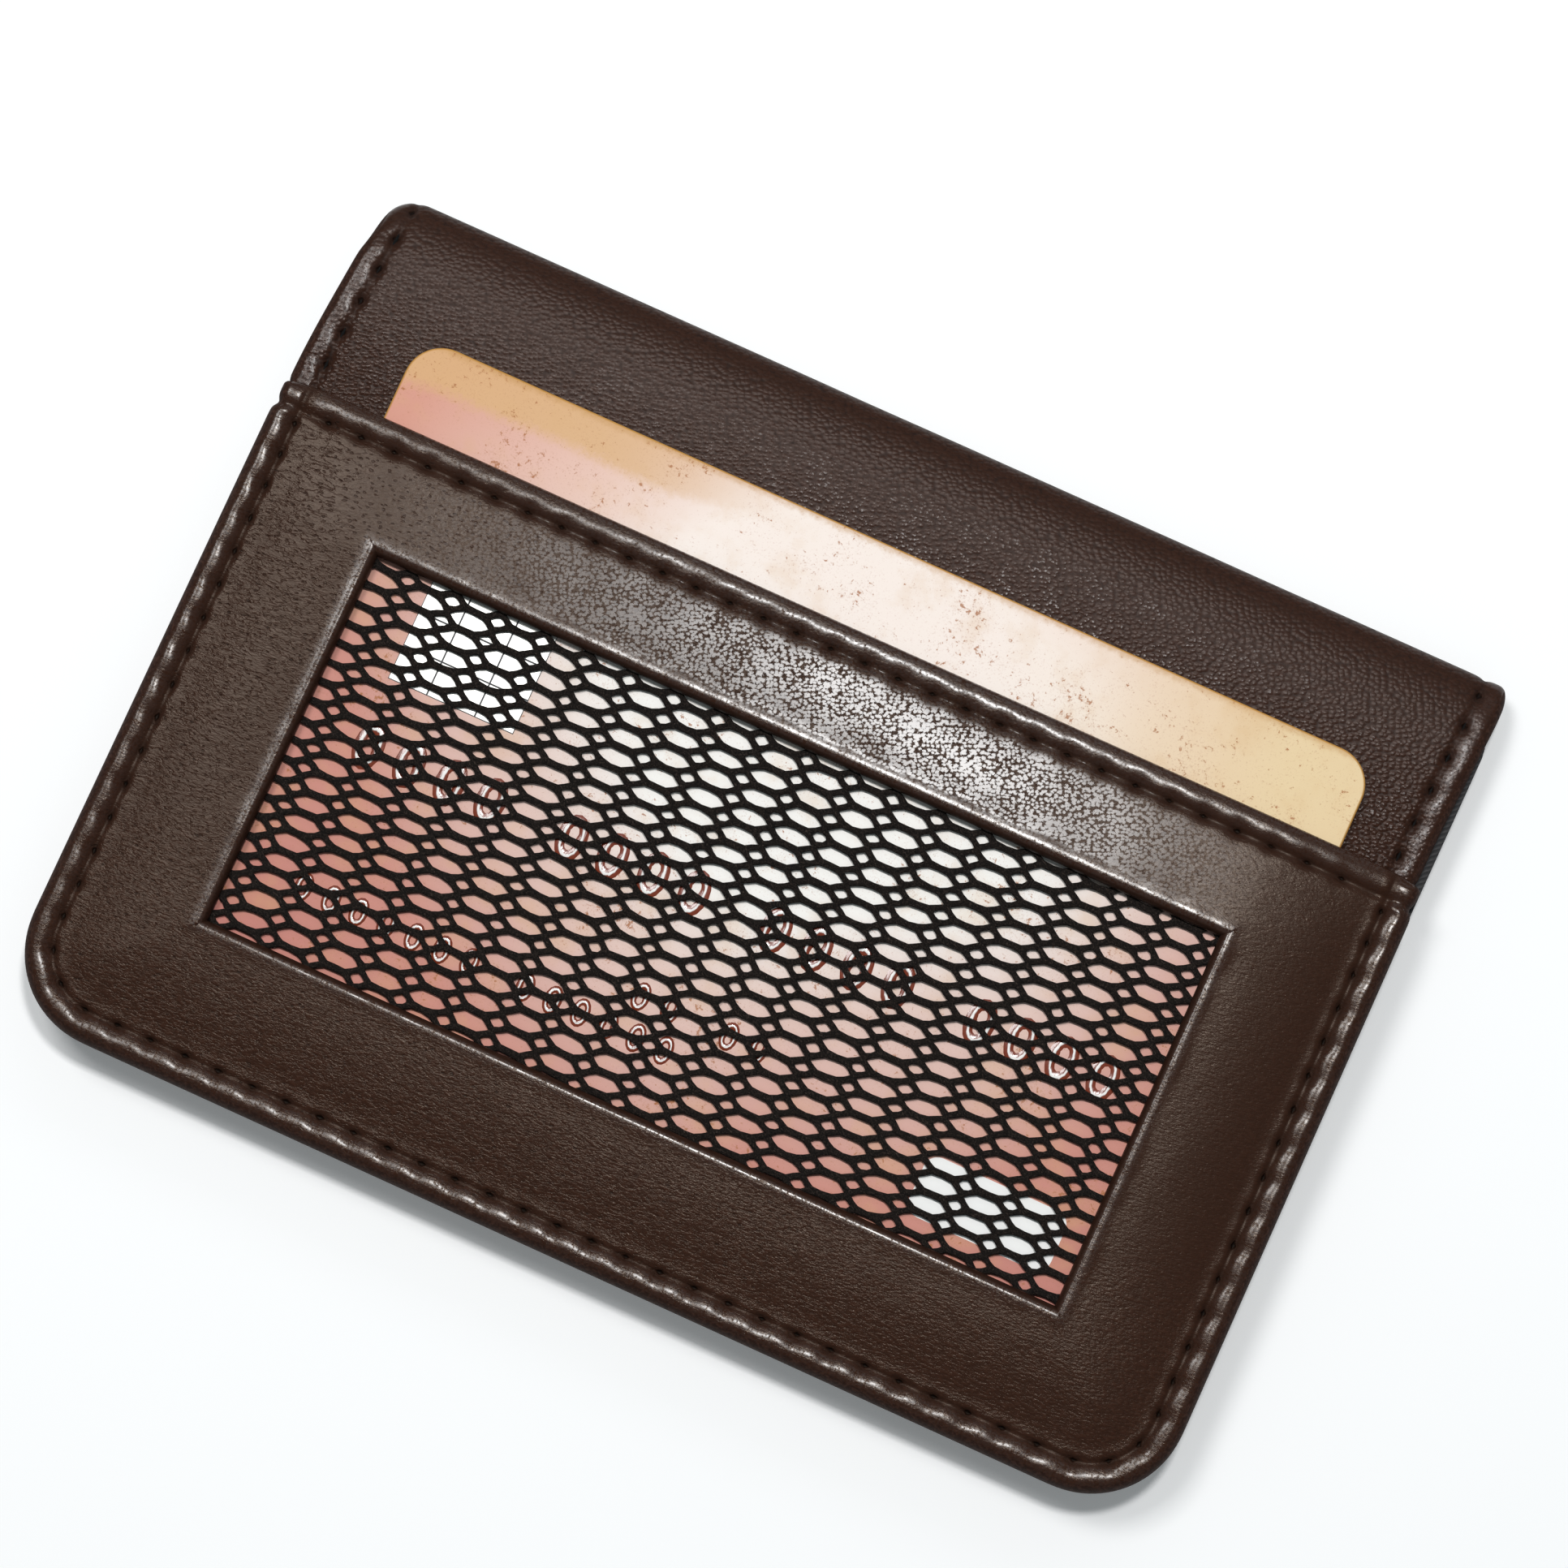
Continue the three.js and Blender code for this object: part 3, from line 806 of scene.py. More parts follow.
class SewnSheet:
    """A leather sheet with a fine face grid, a sewn rim and a plain under layer.

    Each point keeps its place on the flat face, its row and its number along the rim, so that the
    sheet's shape can be set after its faces are made. Rows count from the face outwards: the seam
    lies before SEAM_ROWS and the dyed edge starts at EDGE_ROW. A window's lip and the under layer
    have row numbers of their own.
    """

    FACE = 0
    SEAM_ROWS = 9
    EDGE_ROW = 10
    WINDOW = 100
    UNDER = 200

    def __init__(self, rounded: Callable[[float, float], Vector | None]) -> None:
        """Starts an empty sheet.

        Args:
            rounded: Gives the centre of the corner arc that a flat place belongs to, or nothing.
        """
        self.rounded = rounded
        self.mesh = bmesh.new()
        layers = self.mesh.verts.layers
        self.root = layers.float_vector.new("root")
        self.out = layers.float_vector.new("out")
        self.row = layers.int.new("row")
        self.step = layers.int.new("step")
        self.column = layers.int.new("column")
        # The painted shade of seam grooves, stitch holes and the window's inner wall
        self.pit = layers.float.new("pit")
        self.bead = layers.float.new("bead")
        self.along = layers.float.new("along")

    def grid(self, across: Sequence[float], up: Sequence[float], row: int) -> list[bmesh.types.BMVert]:
        """Adds a grid on given lines, with its corners rounded.

        Args:
            across: The lines' places along the first direction.
            up: The lines' places along the second direction.
            row: The row number of the grid's points.

        Returns:
            The grid's points.
        """
        spans = len(across) - 1, len(up) - 1
        made = bmesh.ops.create_grid(self.mesh, x_segments=spans[0], y_segments=spans[1], size=1.0)
        for vert in made["verts"]:
            column = round((vert.co.x + 1.0) / 2.0 * spans[0])
            line = round((vert.co.y + 1.0) / 2.0 * spans[1])
            flat = Vector((across[column], up[line], 0.0))
            vert[self.root] = self._round(flat)
            vert[self.row] = row
            vert[self.column] = column
            vert.co = vert[self.root]
        return made["verts"]

    def _round(self, flat: Vector) -> Vector:
        """Moves a place in a corner square onto its quarter disc."""
        centre = self.rounded(flat.x, flat.y)
        if centre is None:
            return flat
        reach = flat - centre
        wide, tall = abs(reach.x), abs(reach.y)
        far = max(wide, tall)
        if far < 1e-6:
            return flat
        angle = math.pi / 4 * (tall / wide if wide >= tall else 2.0 - wide / tall)
        across = math.copysign(math.cos(angle), reach.x)
        up = math.copysign(math.sin(angle), reach.y)
        return centre + Vector((across, up, 0.0)) * far

    def cut(self, verts: Iterable[bmesh.types.BMVert], low: Vector, high: Vector) -> None:
        """Takes out the faces of some points whose middle lies in a box."""
        faces = dict.fromkeys(face for vert in verts for face in vert.link_faces)
        inside = []
        for face in faces:
            middle = face.calc_center_median()
            if low.x < middle.x < high.x and low.y < middle.y < high.y:
                inside.append(face)
        bmesh.ops.delete(self.mesh, geom=inside, context="FACES")

    def loops(self, row: int) -> list[list[bmesh.types.BMVert]]:
        """Gives the open borders of one row's grid as ordered rings of points, the longest first."""
        border = (e for e in self.mesh.edges if e.is_boundary)
        edges = dict.fromkeys(e for e in border if all(v[self.row] == row for v in e.verts))
        rings = []
        while edges:
            edge = edges.popitem()[0]
            ring = [edge.verts[0], edge.verts[1]]
            while True:
                found = next((e for e in ring[-1].link_edges if e in edges), None)
                if found is None:
                    break
                edges.pop(found)
                ring.append(found.other_vert(ring[-1]))
            rings.append(ring[:-1] if ring[-1] is ring[0] else ring)
        return sorted(rings, key=len, reverse=True)

    @staticmethod
    def ring_edges(ring: Sequence[bmesh.types.BMVert]) -> list[bmesh.types.BMEdge]:
        """Gives the edges of a closed ring of points."""
        pairs = zip(ring, [*ring[1:], ring[0]])
        return [next(e for e in a.link_edges if e.other_vert(a) is b) for a, b in pairs]

    def rim(self, edges: list[bmesh.types.BMEdge], first: int, count: int) -> list[bmesh.types.BMEdge]:
        """Extrudes a border row by row.

        Args:
            edges: The border's edges.
            first: The first new row's number.
            count: How many rows to add.

        Returns:
            The last row's edges.
        """
        for number in range(count):
            made = bmesh.ops.extrude_edge_only(self.mesh, edges=edges)["geom"]
            for vert in points_of(made):
                vert[self.row] = first + number
            edges = borders_of(made)
        return edges

    def shape(self, place: Callable[[bmesh.types.BMVert], Vector]) -> None:
        """Sets every point's place."""
        for vert in self.mesh.verts:
            vert.co = place(vert)

    def close(self, edges: list[bmesh.types.BMEdge], ring: Sequence[bmesh.types.BMVert]) -> None:
        """Joins a rim's last row to a ring of the under layer."""
        bmesh.ops.bridge_loops(self.mesh, edges=[*edges, *self.ring_edges(ring)])

    def piece(
        self, name: str, finish: bpy.types.Material, edge: bpy.types.Material, first: int, levels: int = 1
    ) -> bpy.types.Object:
        """Turns the sheet into an object, in metres.

        Args:
            name: The piece's name.
            finish: Its material.
            edge: The material of its outer edge.
            first: The first rim row of the outer edge.
            levels: The subdivision levels that round it.

        Returns:
            The new object.
        """
        for face in self.mesh.faces:
            if all(first <= vert[self.row] < self.WINDOW for vert in face.verts):
                face.material_index = 1
        layers = self.mesh.verts.layers
        for kind, spent in ((layers.float_vector, ("root", "out")), (layers.int, ("row", "step", "column"))):
            for layer in spent:
                kind.remove(kind[layer])
        made = solid_piece(name, self.mesh, finish, levels)
        made.data.materials.append(edge)
        return made


def solid_piece(
    name: str, mesh: bmesh.types.BMesh, finish: bpy.types.Material, levels: int = 0, flat: bool = False
) -> bpy.types.Object:
    """Turns a bmesh in mm into an object in metres.

    Args:
        name: The piece's name.
        mesh: The bmesh, which is freed.
        finish: The piece's material.
        levels: Subdivision levels.
        flat: Whether its faces stay flat shaded.

    Returns:
        The new object, at the origin.
    """
    bmesh.ops.recalc_face_normals(mesh, faces=mesh.faces)
    bmesh.ops.scale(mesh, vec=(MM, MM, MM), verts=mesh.verts)
    for face in mesh.faces:
        face.smooth = not flat
    data = bpy.data.meshes.new(name)
    mesh.to_mesh(data)
    mesh.free()
    made = bpy.data.objects.new(name, data)
    bpy.context.scene.collection.objects.link(made)
    data.materials.append(finish)
    if levels:
        rounding = made.modifiers.new("rounding", "SUBSURF")
        rounding.levels = levels
        rounding.render_levels = levels
    return made


def baked(holder: bpy.types.Object) -> bpy.types.Mesh:
    """Gives an object's shape after its modifiers as a new mesh, and removes the object."""
    bpy.context.scene.collection.objects.link(holder)
    bpy.context.view_layer.update()
    data = bpy.data.meshes.new_from_object(holder.evaluated_get(bpy.context.evaluated_depsgraph_get()))
    bpy.data.objects.remove(holder)
    return data


def tube_piece(
    name: str, run: Sequence[Vector], radius: float, finish: bpy.types.Material
) -> bpy.types.Object:
    """Makes a round thread along a run of points.

    Args:
        name: The piece's name.
        run: The thread's points, in mm.
        radius: The thread's radius, in mm.
        finish: Its material.

    Returns:
        The new mesh object, in metres.
    """
    curve = bpy.data.curves.new(name + "_path", "CURVE")
    curve.dimensions = "3D"
    curve.bevel_depth = radius * MM
    curve.bevel_resolution = 2
    curve.use_fill_caps = True
    spline = curve.splines.new("POLY")
    spline.points.add(len(run) - 1)
    for point, place in zip(spline.points, run):
        point.co = (*(place * MM), 1.0)
    data = baked(bpy.data.objects.new(name + "_path", curve))
    bpy.data.curves.remove(curve)
    data.name = name
    for polygon in data.polygons:
        polygon.use_smooth = True
    data.materials.clear()
    data.materials.append(finish)
    made = bpy.data.objects.new(name, data)
    bpy.context.scene.collection.objects.link(made)
    return made


def settle(piece: bpy.types.Object, body: Body, slot: str, *nodes: str) -> bpy.types.Object:
    """Puts a piece on its body and hides the nodes that it stands for."""
    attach(piece, body.value)
    if nodes:
        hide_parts(*nodes)
    LOG.info("%s rides %s", piece.name, body.value)
    return piece


def settle_bent(piece: bpy.types.Object, start: Vector, end: Vector, slot: str, *nodes: str) -> None:
    """Bakes a piece's place into its mesh and hides the nodes that it stands for."""
    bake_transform(piece)
    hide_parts(*nodes)
    LOG.info("%s bends over the fold", piece.name)


def sew(name: str, run: Sequence[Vector], thread: bpy.types.Material, body: Body, node: str) -> None:
    """Lays a seam's thread along a run of points, in the place of its node."""
    settle(tube_piece(name, run, THREAD_RADIUS, thread), body, "seam_thread", node)


# The window pocket


@dataclass
class WindowPocket:
    """The sewn panel with its window, the net behind it and their threads."""

    finishes: Finishes
    reach: float = 3.6
    mouth_reach: float = 3.4
    corner: float = 8.0
    window_margin: float = 3.8
    window_lip: float = 1.65
    step: float = 0.75
    seam_level: float = 6.8
    field_level: float = 7.74
    mouth_drop: float = 0.42
    dome: float = 10.5
    leather: float = 0.55
    board_depth: float = 0.42
    board_wall: float = 0.2
    board_inset: float = 0.6
    board_step: float = 3.0
    stitch_steps: int = 4
    first_hole: int = 2
    hole_margin: float = 3.5
    side_seam: float = 2.52
    side_groove: float = 0.42
    side_bead: float = 0.6
    mouth_seam: float = 2.3
    mouth_groove: float = 0.38
    mouth_bead: float = 0.5
    thread_depth: float = 0.55
    thread_dip: float = 0.2
    stitch_shove: float = 0.06
    ripple: float = 0.05
    low: Vector = field(init=False)
    high: Vector = field(init=False)
    window_low: Vector = field(init=False)
    window_high: Vector = field(init=False)
    seam_run: list[Vector] = field(init=False, default_factory=list)
    mouth_run: list[Vector] = field(init=False, default_factory=list)

    SIDE = rows_of(
        (3.15, 0.0, 0.01), (2.92, -0.01, 0.07), (2.72, -0.05, 0.24), (2.52, -0.13, 0.46),
        (2.34, -0.1, 0.4), (2.12, 0.06, 0.28), (1.82, 0.2, 0.16), (1.45, 0.27, 0.09),
        (1.05, 0.3, 0.05), (0.68, 0.2, 0.02), (0.36, -0.14), (0.12, -0.68), (0.0, -1.3),
        (0.0, -1.9), (0.1, -2.35), (0.45, -2.54), (1.8, -2.55), (3.3, -2.55), (3.5, -0.3),
    )
    HEM = rows_of(
        (3.4, 0.0), (2.98, 0.0, 0.04), (2.72, -0.03, 0.16), (2.5, -0.1, 0.4), (2.32, -0.13, 0.5),
        (2.14, -0.08, 0.4), (1.92, 0.05, 0.26), (1.66, 0.13, 0.13), (1.32, 0.16, 0.06),
        (0.96, 0.14, 0.01), (0.64, 0.08), (0.38, 0.0),
    )
    TURN = rows_of(
        (0.26, -0.06), (0.16, -0.12), (0.09, -0.2), (0.04, -0.3), (0.01, -0.4), (0.0, -0.5),
        (0.0, -0.58), (0.01, -0.66), (0.04, -0.73), (0.1, -0.8), (0.18, -0.85), (0.3, -0.88),
        (0.5, -0.9), (0.8, -0.91), (1.2, -0.91), (1.7, -0.91), (2.3, -0.91), (3.0, -0.91), (3.5, -0.8),
    )
    LIP = rows_of(
        (1.35, 0.03), (1.1, 0.07), (0.85, 0.095), (0.62, 0.09), (0.42, 0.03), (0.24, -0.12),
        (0.08, -0.36), (0.0, -0.8), (0.06, -0.95), (0.5, -0.95), (1.2, -0.95),
    )

    def __post_init__(self) -> None:
        """Reads the panel's box and the window's edges from the CAD model."""
        self.low, self.high = box_mm("pocket_panel")
        net_low, net_high = box_mm("window_net")
        edge = Vector((self.window_margin, self.window_margin, 0.0))
        self.window_low, self.window_high = net_low + edge, net_high - edge

    def build(self) -> None:
        """Builds the panel, its threads and the net."""
        settle(self._panel(), Body.FRONT, "cover_leather", "pocket_panel")
        thread = self.finishes.thread
        sew("pocket_side_stitches", self.seam_run, thread, Body.FRONT, "pocket_seam_thread")
        sew("pocket_mouth_stitches", self.mouth_run, thread, Body.FRONT, "pocket_mouth_thread")
        settle(KnittedNet(self.finishes).make(), Body.FRONT, "black_net", "window_net")
        settle(self._board(), Body.FRONT, "stiff_board", "panel_board")

    def edge_distance(self, x: float, y: float) -> float:
        """Measures how far a place lies in from the sides and the round bottom corners."""
        wide = abs(x) - (self.high.x - self.corner)
        deep = self.low.y + self.corner - y
        if wide > 0.0 and deep > 0.0:
            return self.corner - math.hypot(wide, deep)
        return min(self.high.x - abs(x), y - self.low.y)

    def level(self, x: float, y: float) -> float:
        """Gives the height of the panel's face, which swells away from the side seams."""
        share = min(1.0, max(0.0, (self.edge_distance(x, y) - self.side_seam) / self.dome))
        swell = 1.0 - (1.0 - share) ** 2
        waves = 0.05 * wander(x, y, 13.0, 2.0) + 0.025 * wander(x, y, 5.0, 7.0)
        edge, seam = self.window_high.y, self.high.y - self.mouth_seam
        slope = min(1.0, max(0.0, (y - edge) / (seam - edge)))
        crown = self.field_level - self.mouth_drop * slope**1.6
        return lerp(self.seam_level, crown, swell) + waves * swell

    def _corner_centre(self, x: float, y: float) -> Vector | None:
        """Gives the centre of the bottom corner that a flat place belongs to."""
        side = self.high.x - self.corner
        base = self.low.y + self.corner
        if abs(x) > side and y < base:
            return Vector((math.copysign(side, x), base, 0.0))
        return None

    def _lines(self, step: float) -> tuple[list[float], list[float]]:
        """Gives the face grid's lines across and up."""
        lip = self.window_lip
        left, right = self.low.x + self.reach, self.high.x - self.reach
        bottom, top = self.low.y + self.reach, self.high.y - self.mouth_reach
        side = self.high.x - self.corner
        across = [left, -side, self.window_low.x - lip, self.window_high.x + lip, side, right]
        up = [bottom, self.low.y + self.corner, self.window_low.y - lip, self.window_high.y + lip, top]
        hem = [self.high.y - row.inset for row in self.HEM[1:]]
        return spaced(across, step), spaced(up, step) + (hem if step == self.step else hem[-1:])

    def _panel(self) -> bpy.types.Object:
        """Builds the leather panel as one closed sheet."""
        sheet = SewnSheet(self._corner_centre)
        lip = Vector((self.window_lip, self.window_lip, 0.0))
        low, high = self.window_low - lip, self.window_high + lip
        sheet.cut(sheet.grid(*self._lines(self.step), SewnSheet.FACE), low, high)
        sheet.cut(sheet.grid(*self._lines(4 * self.step), SewnSheet.UNDER), low, high)
        outer, window = sheet.loops(SewnSheet.FACE)[:2]
        under_outer, under_window = sheet.loops(SewnSheet.UNDER)[:2]
        self._mark_rim(sheet, outer)
        self._mark_window(sheet, window)
        rim = sheet.rim(sheet.ring_edges(outer), 1, len(self.SIDE))
        lip_edges = sheet.rim(sheet.ring_edges(window), SewnSheet.WINDOW, len(self.LIP))
        sheet.shape(lambda vert: self._place(sheet, vert))
        self._runs(sheet, outer)
        sheet.close(rim, under_outer)
        sheet.close(lip_edges, under_window)
        hide, dye = self.finishes.panel, self.finishes.edge
        return sheet.piece("window_panel_leather", hide, dye, SewnSheet.EDGE_ROW)

    def _mark_rim(self, sheet: SewnSheet, ring: list[bmesh.types.BMVert]) -> None:
        """Writes each rim point's way out and its number along the seam."""
        top = self.high.y - self.HEM[-1].inset
        hem = self.high.y - self.mouth_reach
        side = self.high.x - self.reach
        start_ring(ring, Vector((-side, hem, 0.0)), -1.0)
        for number, vert in enumerate(ring):
            x, y = vert.co.x, vert.co.y
            centre = self._corner_centre(x, y)
            at_mouth = abs(y - top) < CLOSE
            if centre is not None:
                out = (vert.co - centre).normalized()
            elif abs(abs(x) - side) < CLOSE:
                out = Vector((math.copysign(1.0, x), 0.0, 0.0))
            elif at_mouth:
                out = Vector((0.0, 0.0, 0.0))
            else:
                out = Vector((0.0, -1.0, 0.0))
            vert[sheet.out] = Vector((out.x, out.y, 1.0 if at_mouth else 0.0))
            vert[sheet.step] = number + 2 if y < hem + 0.1 else 0
            vert[sheet.along] = number * self.step

    def _mark_window(self, sheet: SewnSheet, ring: list[bmesh.types.BMVert]) -> None:
        """Writes each window point's way into the opening."""
        low, high, lip = self.window_low, self.window_high, self.window_lip
        for number, vert in enumerate(ring):
            inward = Vector((0.0, 0.0, 0.0))
            for axis in (0, 1):
                if abs(vert.co[axis] - (low[axis] - lip)) < CLOSE:
                    inward[axis] = 1.0
                if abs(vert.co[axis] - (high[axis] + lip)) < CLOSE:
                    inward[axis] = -1.0
            vert[sheet.out] = inward
            vert[sheet.step] = number
            vert[sheet.along] = number * self.step

    def _stitch(self, step: int) -> float:
        """Gives 1 at a point that holds a stitch hole and 0 between holes."""
        return 1.0 if step % self.stitch_steps == self.first_hole else 0.0

    def hem(self, x: float, y: float, column: int) -> tuple[float, float]:
        """Gives the hem's height over the face and the painted shade of its stitch holes.

        Args:
            x: The place across.
            y: The place up.
            column: The grid column, which says where the stitch holes are.

        Returns:
            The height to add and the hole's painted shade.
        """
        inset = self.high.y - y
        if inset >= self.HEM[0].inset:
            return 0.0, 0.0
        for outer, inner in zip(self.HEM, self.HEM[1:]):
            if inset >= inner.inset - CLOSE:
                break
        share = (outer.inset - inset) / (outer.inset - inner.inset)
        rise = lerp(outer.rise, inner.rise, share)
        pinch = lerp(outer.pinch, inner.pinch, share)
        hole = self._stitch(column) * smooth((self.high.x - self.hole_margin - abs(x)) / 0.5)
        vary = 1.0 + 0.4 * wander(x, y, 4.0, 11.0)
        ripple = self.ripple * wander(x, y, 1.7, 5.0) if rise > 0 else 0.0
        dark = seam_shade(inset - self.mouth_seam, self.mouth_groove, hole)
        return rise - pinch * hole * vary + ripple, dark

    def _place(self, sheet: SewnSheet, vert: bmesh.types.BMVert) -> Vector:
        """Gives a panel point's place."""
        root, row = vert[sheet.root], vert[sheet.row]
        if row == SewnSheet.UNDER:
            return Vector((root.x, root.y, self.level(root.x, root.y) - self.leather))
        if row >= SewnSheet.WINDOW:
            return self._lip_place(sheet, vert)
        if row == SewnSheet.FACE:
            return self._face_place(sheet, vert)
        return self._rim_place(sheet, vert)

    def _face_place(self, sheet: SewnSheet, vert: bmesh.types.BMVert) -> Vector:
        """Gives a place on the panel's face, with the hem along its mouth."""
        x, y = vert[sheet.root].x, vert[sheet.root].y
        rise, vert[sheet.pit] = self.hem(x, y, vert[sheet.column])
        inset = self.high.y - y
        vert[sheet.bead] = self.mouth_bead * smooth((self.mouth_seam - 0.1 - inset) / 0.5)
        return Vector((x, y, self.level(x, y) + rise))

    def _rim_place(self, sheet: SewnSheet, vert: bmesh.types.BMVert) -> Vector:
        """Gives a place on the sewn sides, or on the turn over the mouth; a corner lies on both."""
        root, row, out = vert[sheet.root], vert[sheet.row], vert[sheet.out]
        x, y = root.x, root.y
        side, turn = self.SIDE[row - 1], self.TURN[row - 1]
        place = Vector((x, y, 0.0))
        heights = []
        vert[sheet.bead] = 1.0
        if out.x or out.y:
            stitch = self._stitch(vert[sheet.step])
            above = y - (self.high.y - self.mouth_seam)
            over = smooth((above + 0.4) / 0.8)
            shove = self.stitch_shove * stitch * smooth((2.6 - side.inset) / 0.6) * smooth(side.inset / 1.2)
            tuck = 0.3 * math.exp(-((above / 0.4) ** 2)) + 0.15 * over
            push = self.reach - side.inset + shove - tuck * smooth((2.2 - side.inset) / 1.2)
            place += Vector((out.x, out.y, 0.0)) * push
            pinch = side.pinch * stitch * (1.0 + 0.35 * wander(x, y, 4.0, 11.0))
            ripple = self.ripple * wander(x, y, 1.7, 5.0) if side.rise > 0 else 0.0
            risen = side.rise * (1.0 - 0.75 * over) if side.rise > 0 else side.rise
            heights.append(self.level(x, y) + self.hem(x, y, 0)[0] + risen - pinch + ripple)
            dark = seam_shade(side.inset - self.side_seam, self.side_groove, stitch)
            vert[sheet.pit] = dark if row < SewnSheet.SEAM_ROWS else 0.0
            vert[sheet.bead] = self.side_bead * smooth((self.side_seam - 0.1 - side.inset) / 0.5)
        if out.z:
            place.y += self.HEM[-1].inset - turn.inset
            heights.append(self.level(x, y) + turn.rise)
        place.z = sum(heights) / len(heights)
        return place

    def _lip_place(self, sheet: SewnSheet, vert: bmesh.types.BMVert) -> Vector:
        """Gives a place on the window's turned lip."""
        root = vert[sheet.root]
        row = self.LIP[vert[sheet.row] - SewnSheet.WINDOW]
        inward = vert[sheet.out]
        place = root + inward * (self.window_lip - row.inset)
        ripple = self.ripple * wander(root.x, root.y, 1.6, 9.0) if row.inset > 0.2 else 0.0
        place.z = self.level(root.x, root.y) + row.rise + ripple
        vert[sheet.bead] = smooth((1.5 - row.inset) / 0.6) * smooth((row.inset - 0.1) / 0.3)
        # Painted shade on the lip's inner wall, where it turns down into the window
        vert[sheet.pit] = 0.3 * smooth((0.5 - row.inset) / 0.3)
        return place

    def _runs(self, sheet: SewnSheet, ring: list[bmesh.types.BMVert]) -> None:
        """Lays the threads along the seam grooves, where only the stitch holes show them."""
        hem = self.high.y - self.mouth_reach
        for vert in ring:
            root, out, step = vert[sheet.root], vert[sheet.out], vert[sheet.step]
            if root.y > hem + 0.1:
                continue
            height = self.level(root.x, root.y) - self.thread_depth - self.thread_dip * self._stitch(step)
            away = Vector((out.x, out.y, 0.0)) * (self.reach - self.side_seam)
            self.seam_run.append(Vector((root.x, root.y, height)) + away)
        seam = self.high.y - self.mouth_seam
        across = self._lines(self.step)[0]
        for column, x in enumerate(across[1:-1], start=1):
            height = self.level(x, seam) - self.thread_depth - self.thread_dip * self._stitch(column)
            self.mouth_run.append(Vector((x, seam, height)))

    def _board(self) -> bpy.types.Object:
        """Builds the thin board frame that the panel's leather is drawn over."""
        low, high = box_mm("panel_board")
        lip = Vector((self.window_lip, self.window_lip, 0.0)) * 0.8
        sheet = SewnSheet(lambda x, y: None)
        window_low, window_high = self.window_low - lip, self.window_high + lip
        inset, step = self.board_inset, self.board_step
        across = spaced([low.x + inset, window_low.x, window_high.x, high.x - inset], step)
        up = spaced([low.y + inset, window_low.y, window_high.y, high.y], step)
        sheet.cut(sheet.grid(across, up, SewnSheet.FACE), window_low, window_high)
        for vert in sheet.mesh.verts:
            vert.co.z += self.level(vert.co.x, vert.co.y) - self.board_depth
        ends = [v for v in sheet.mesh.verts if len(v.link_faces) == 1 and v.co.y < low.y + 1.0]
        bmesh.ops.translate(sheet.mesh, vec=(0.0, 1.0, 0.0), verts=ends)
        made = sheet.piece("panel_stiffener", self.finishes.board, self.finishes.board, 1, 0)
        wall = made.modifiers.new("board", "SOLIDIFY")
        wall.thickness = self.board_wall * MM
        wall.offset = 0.0
        return made


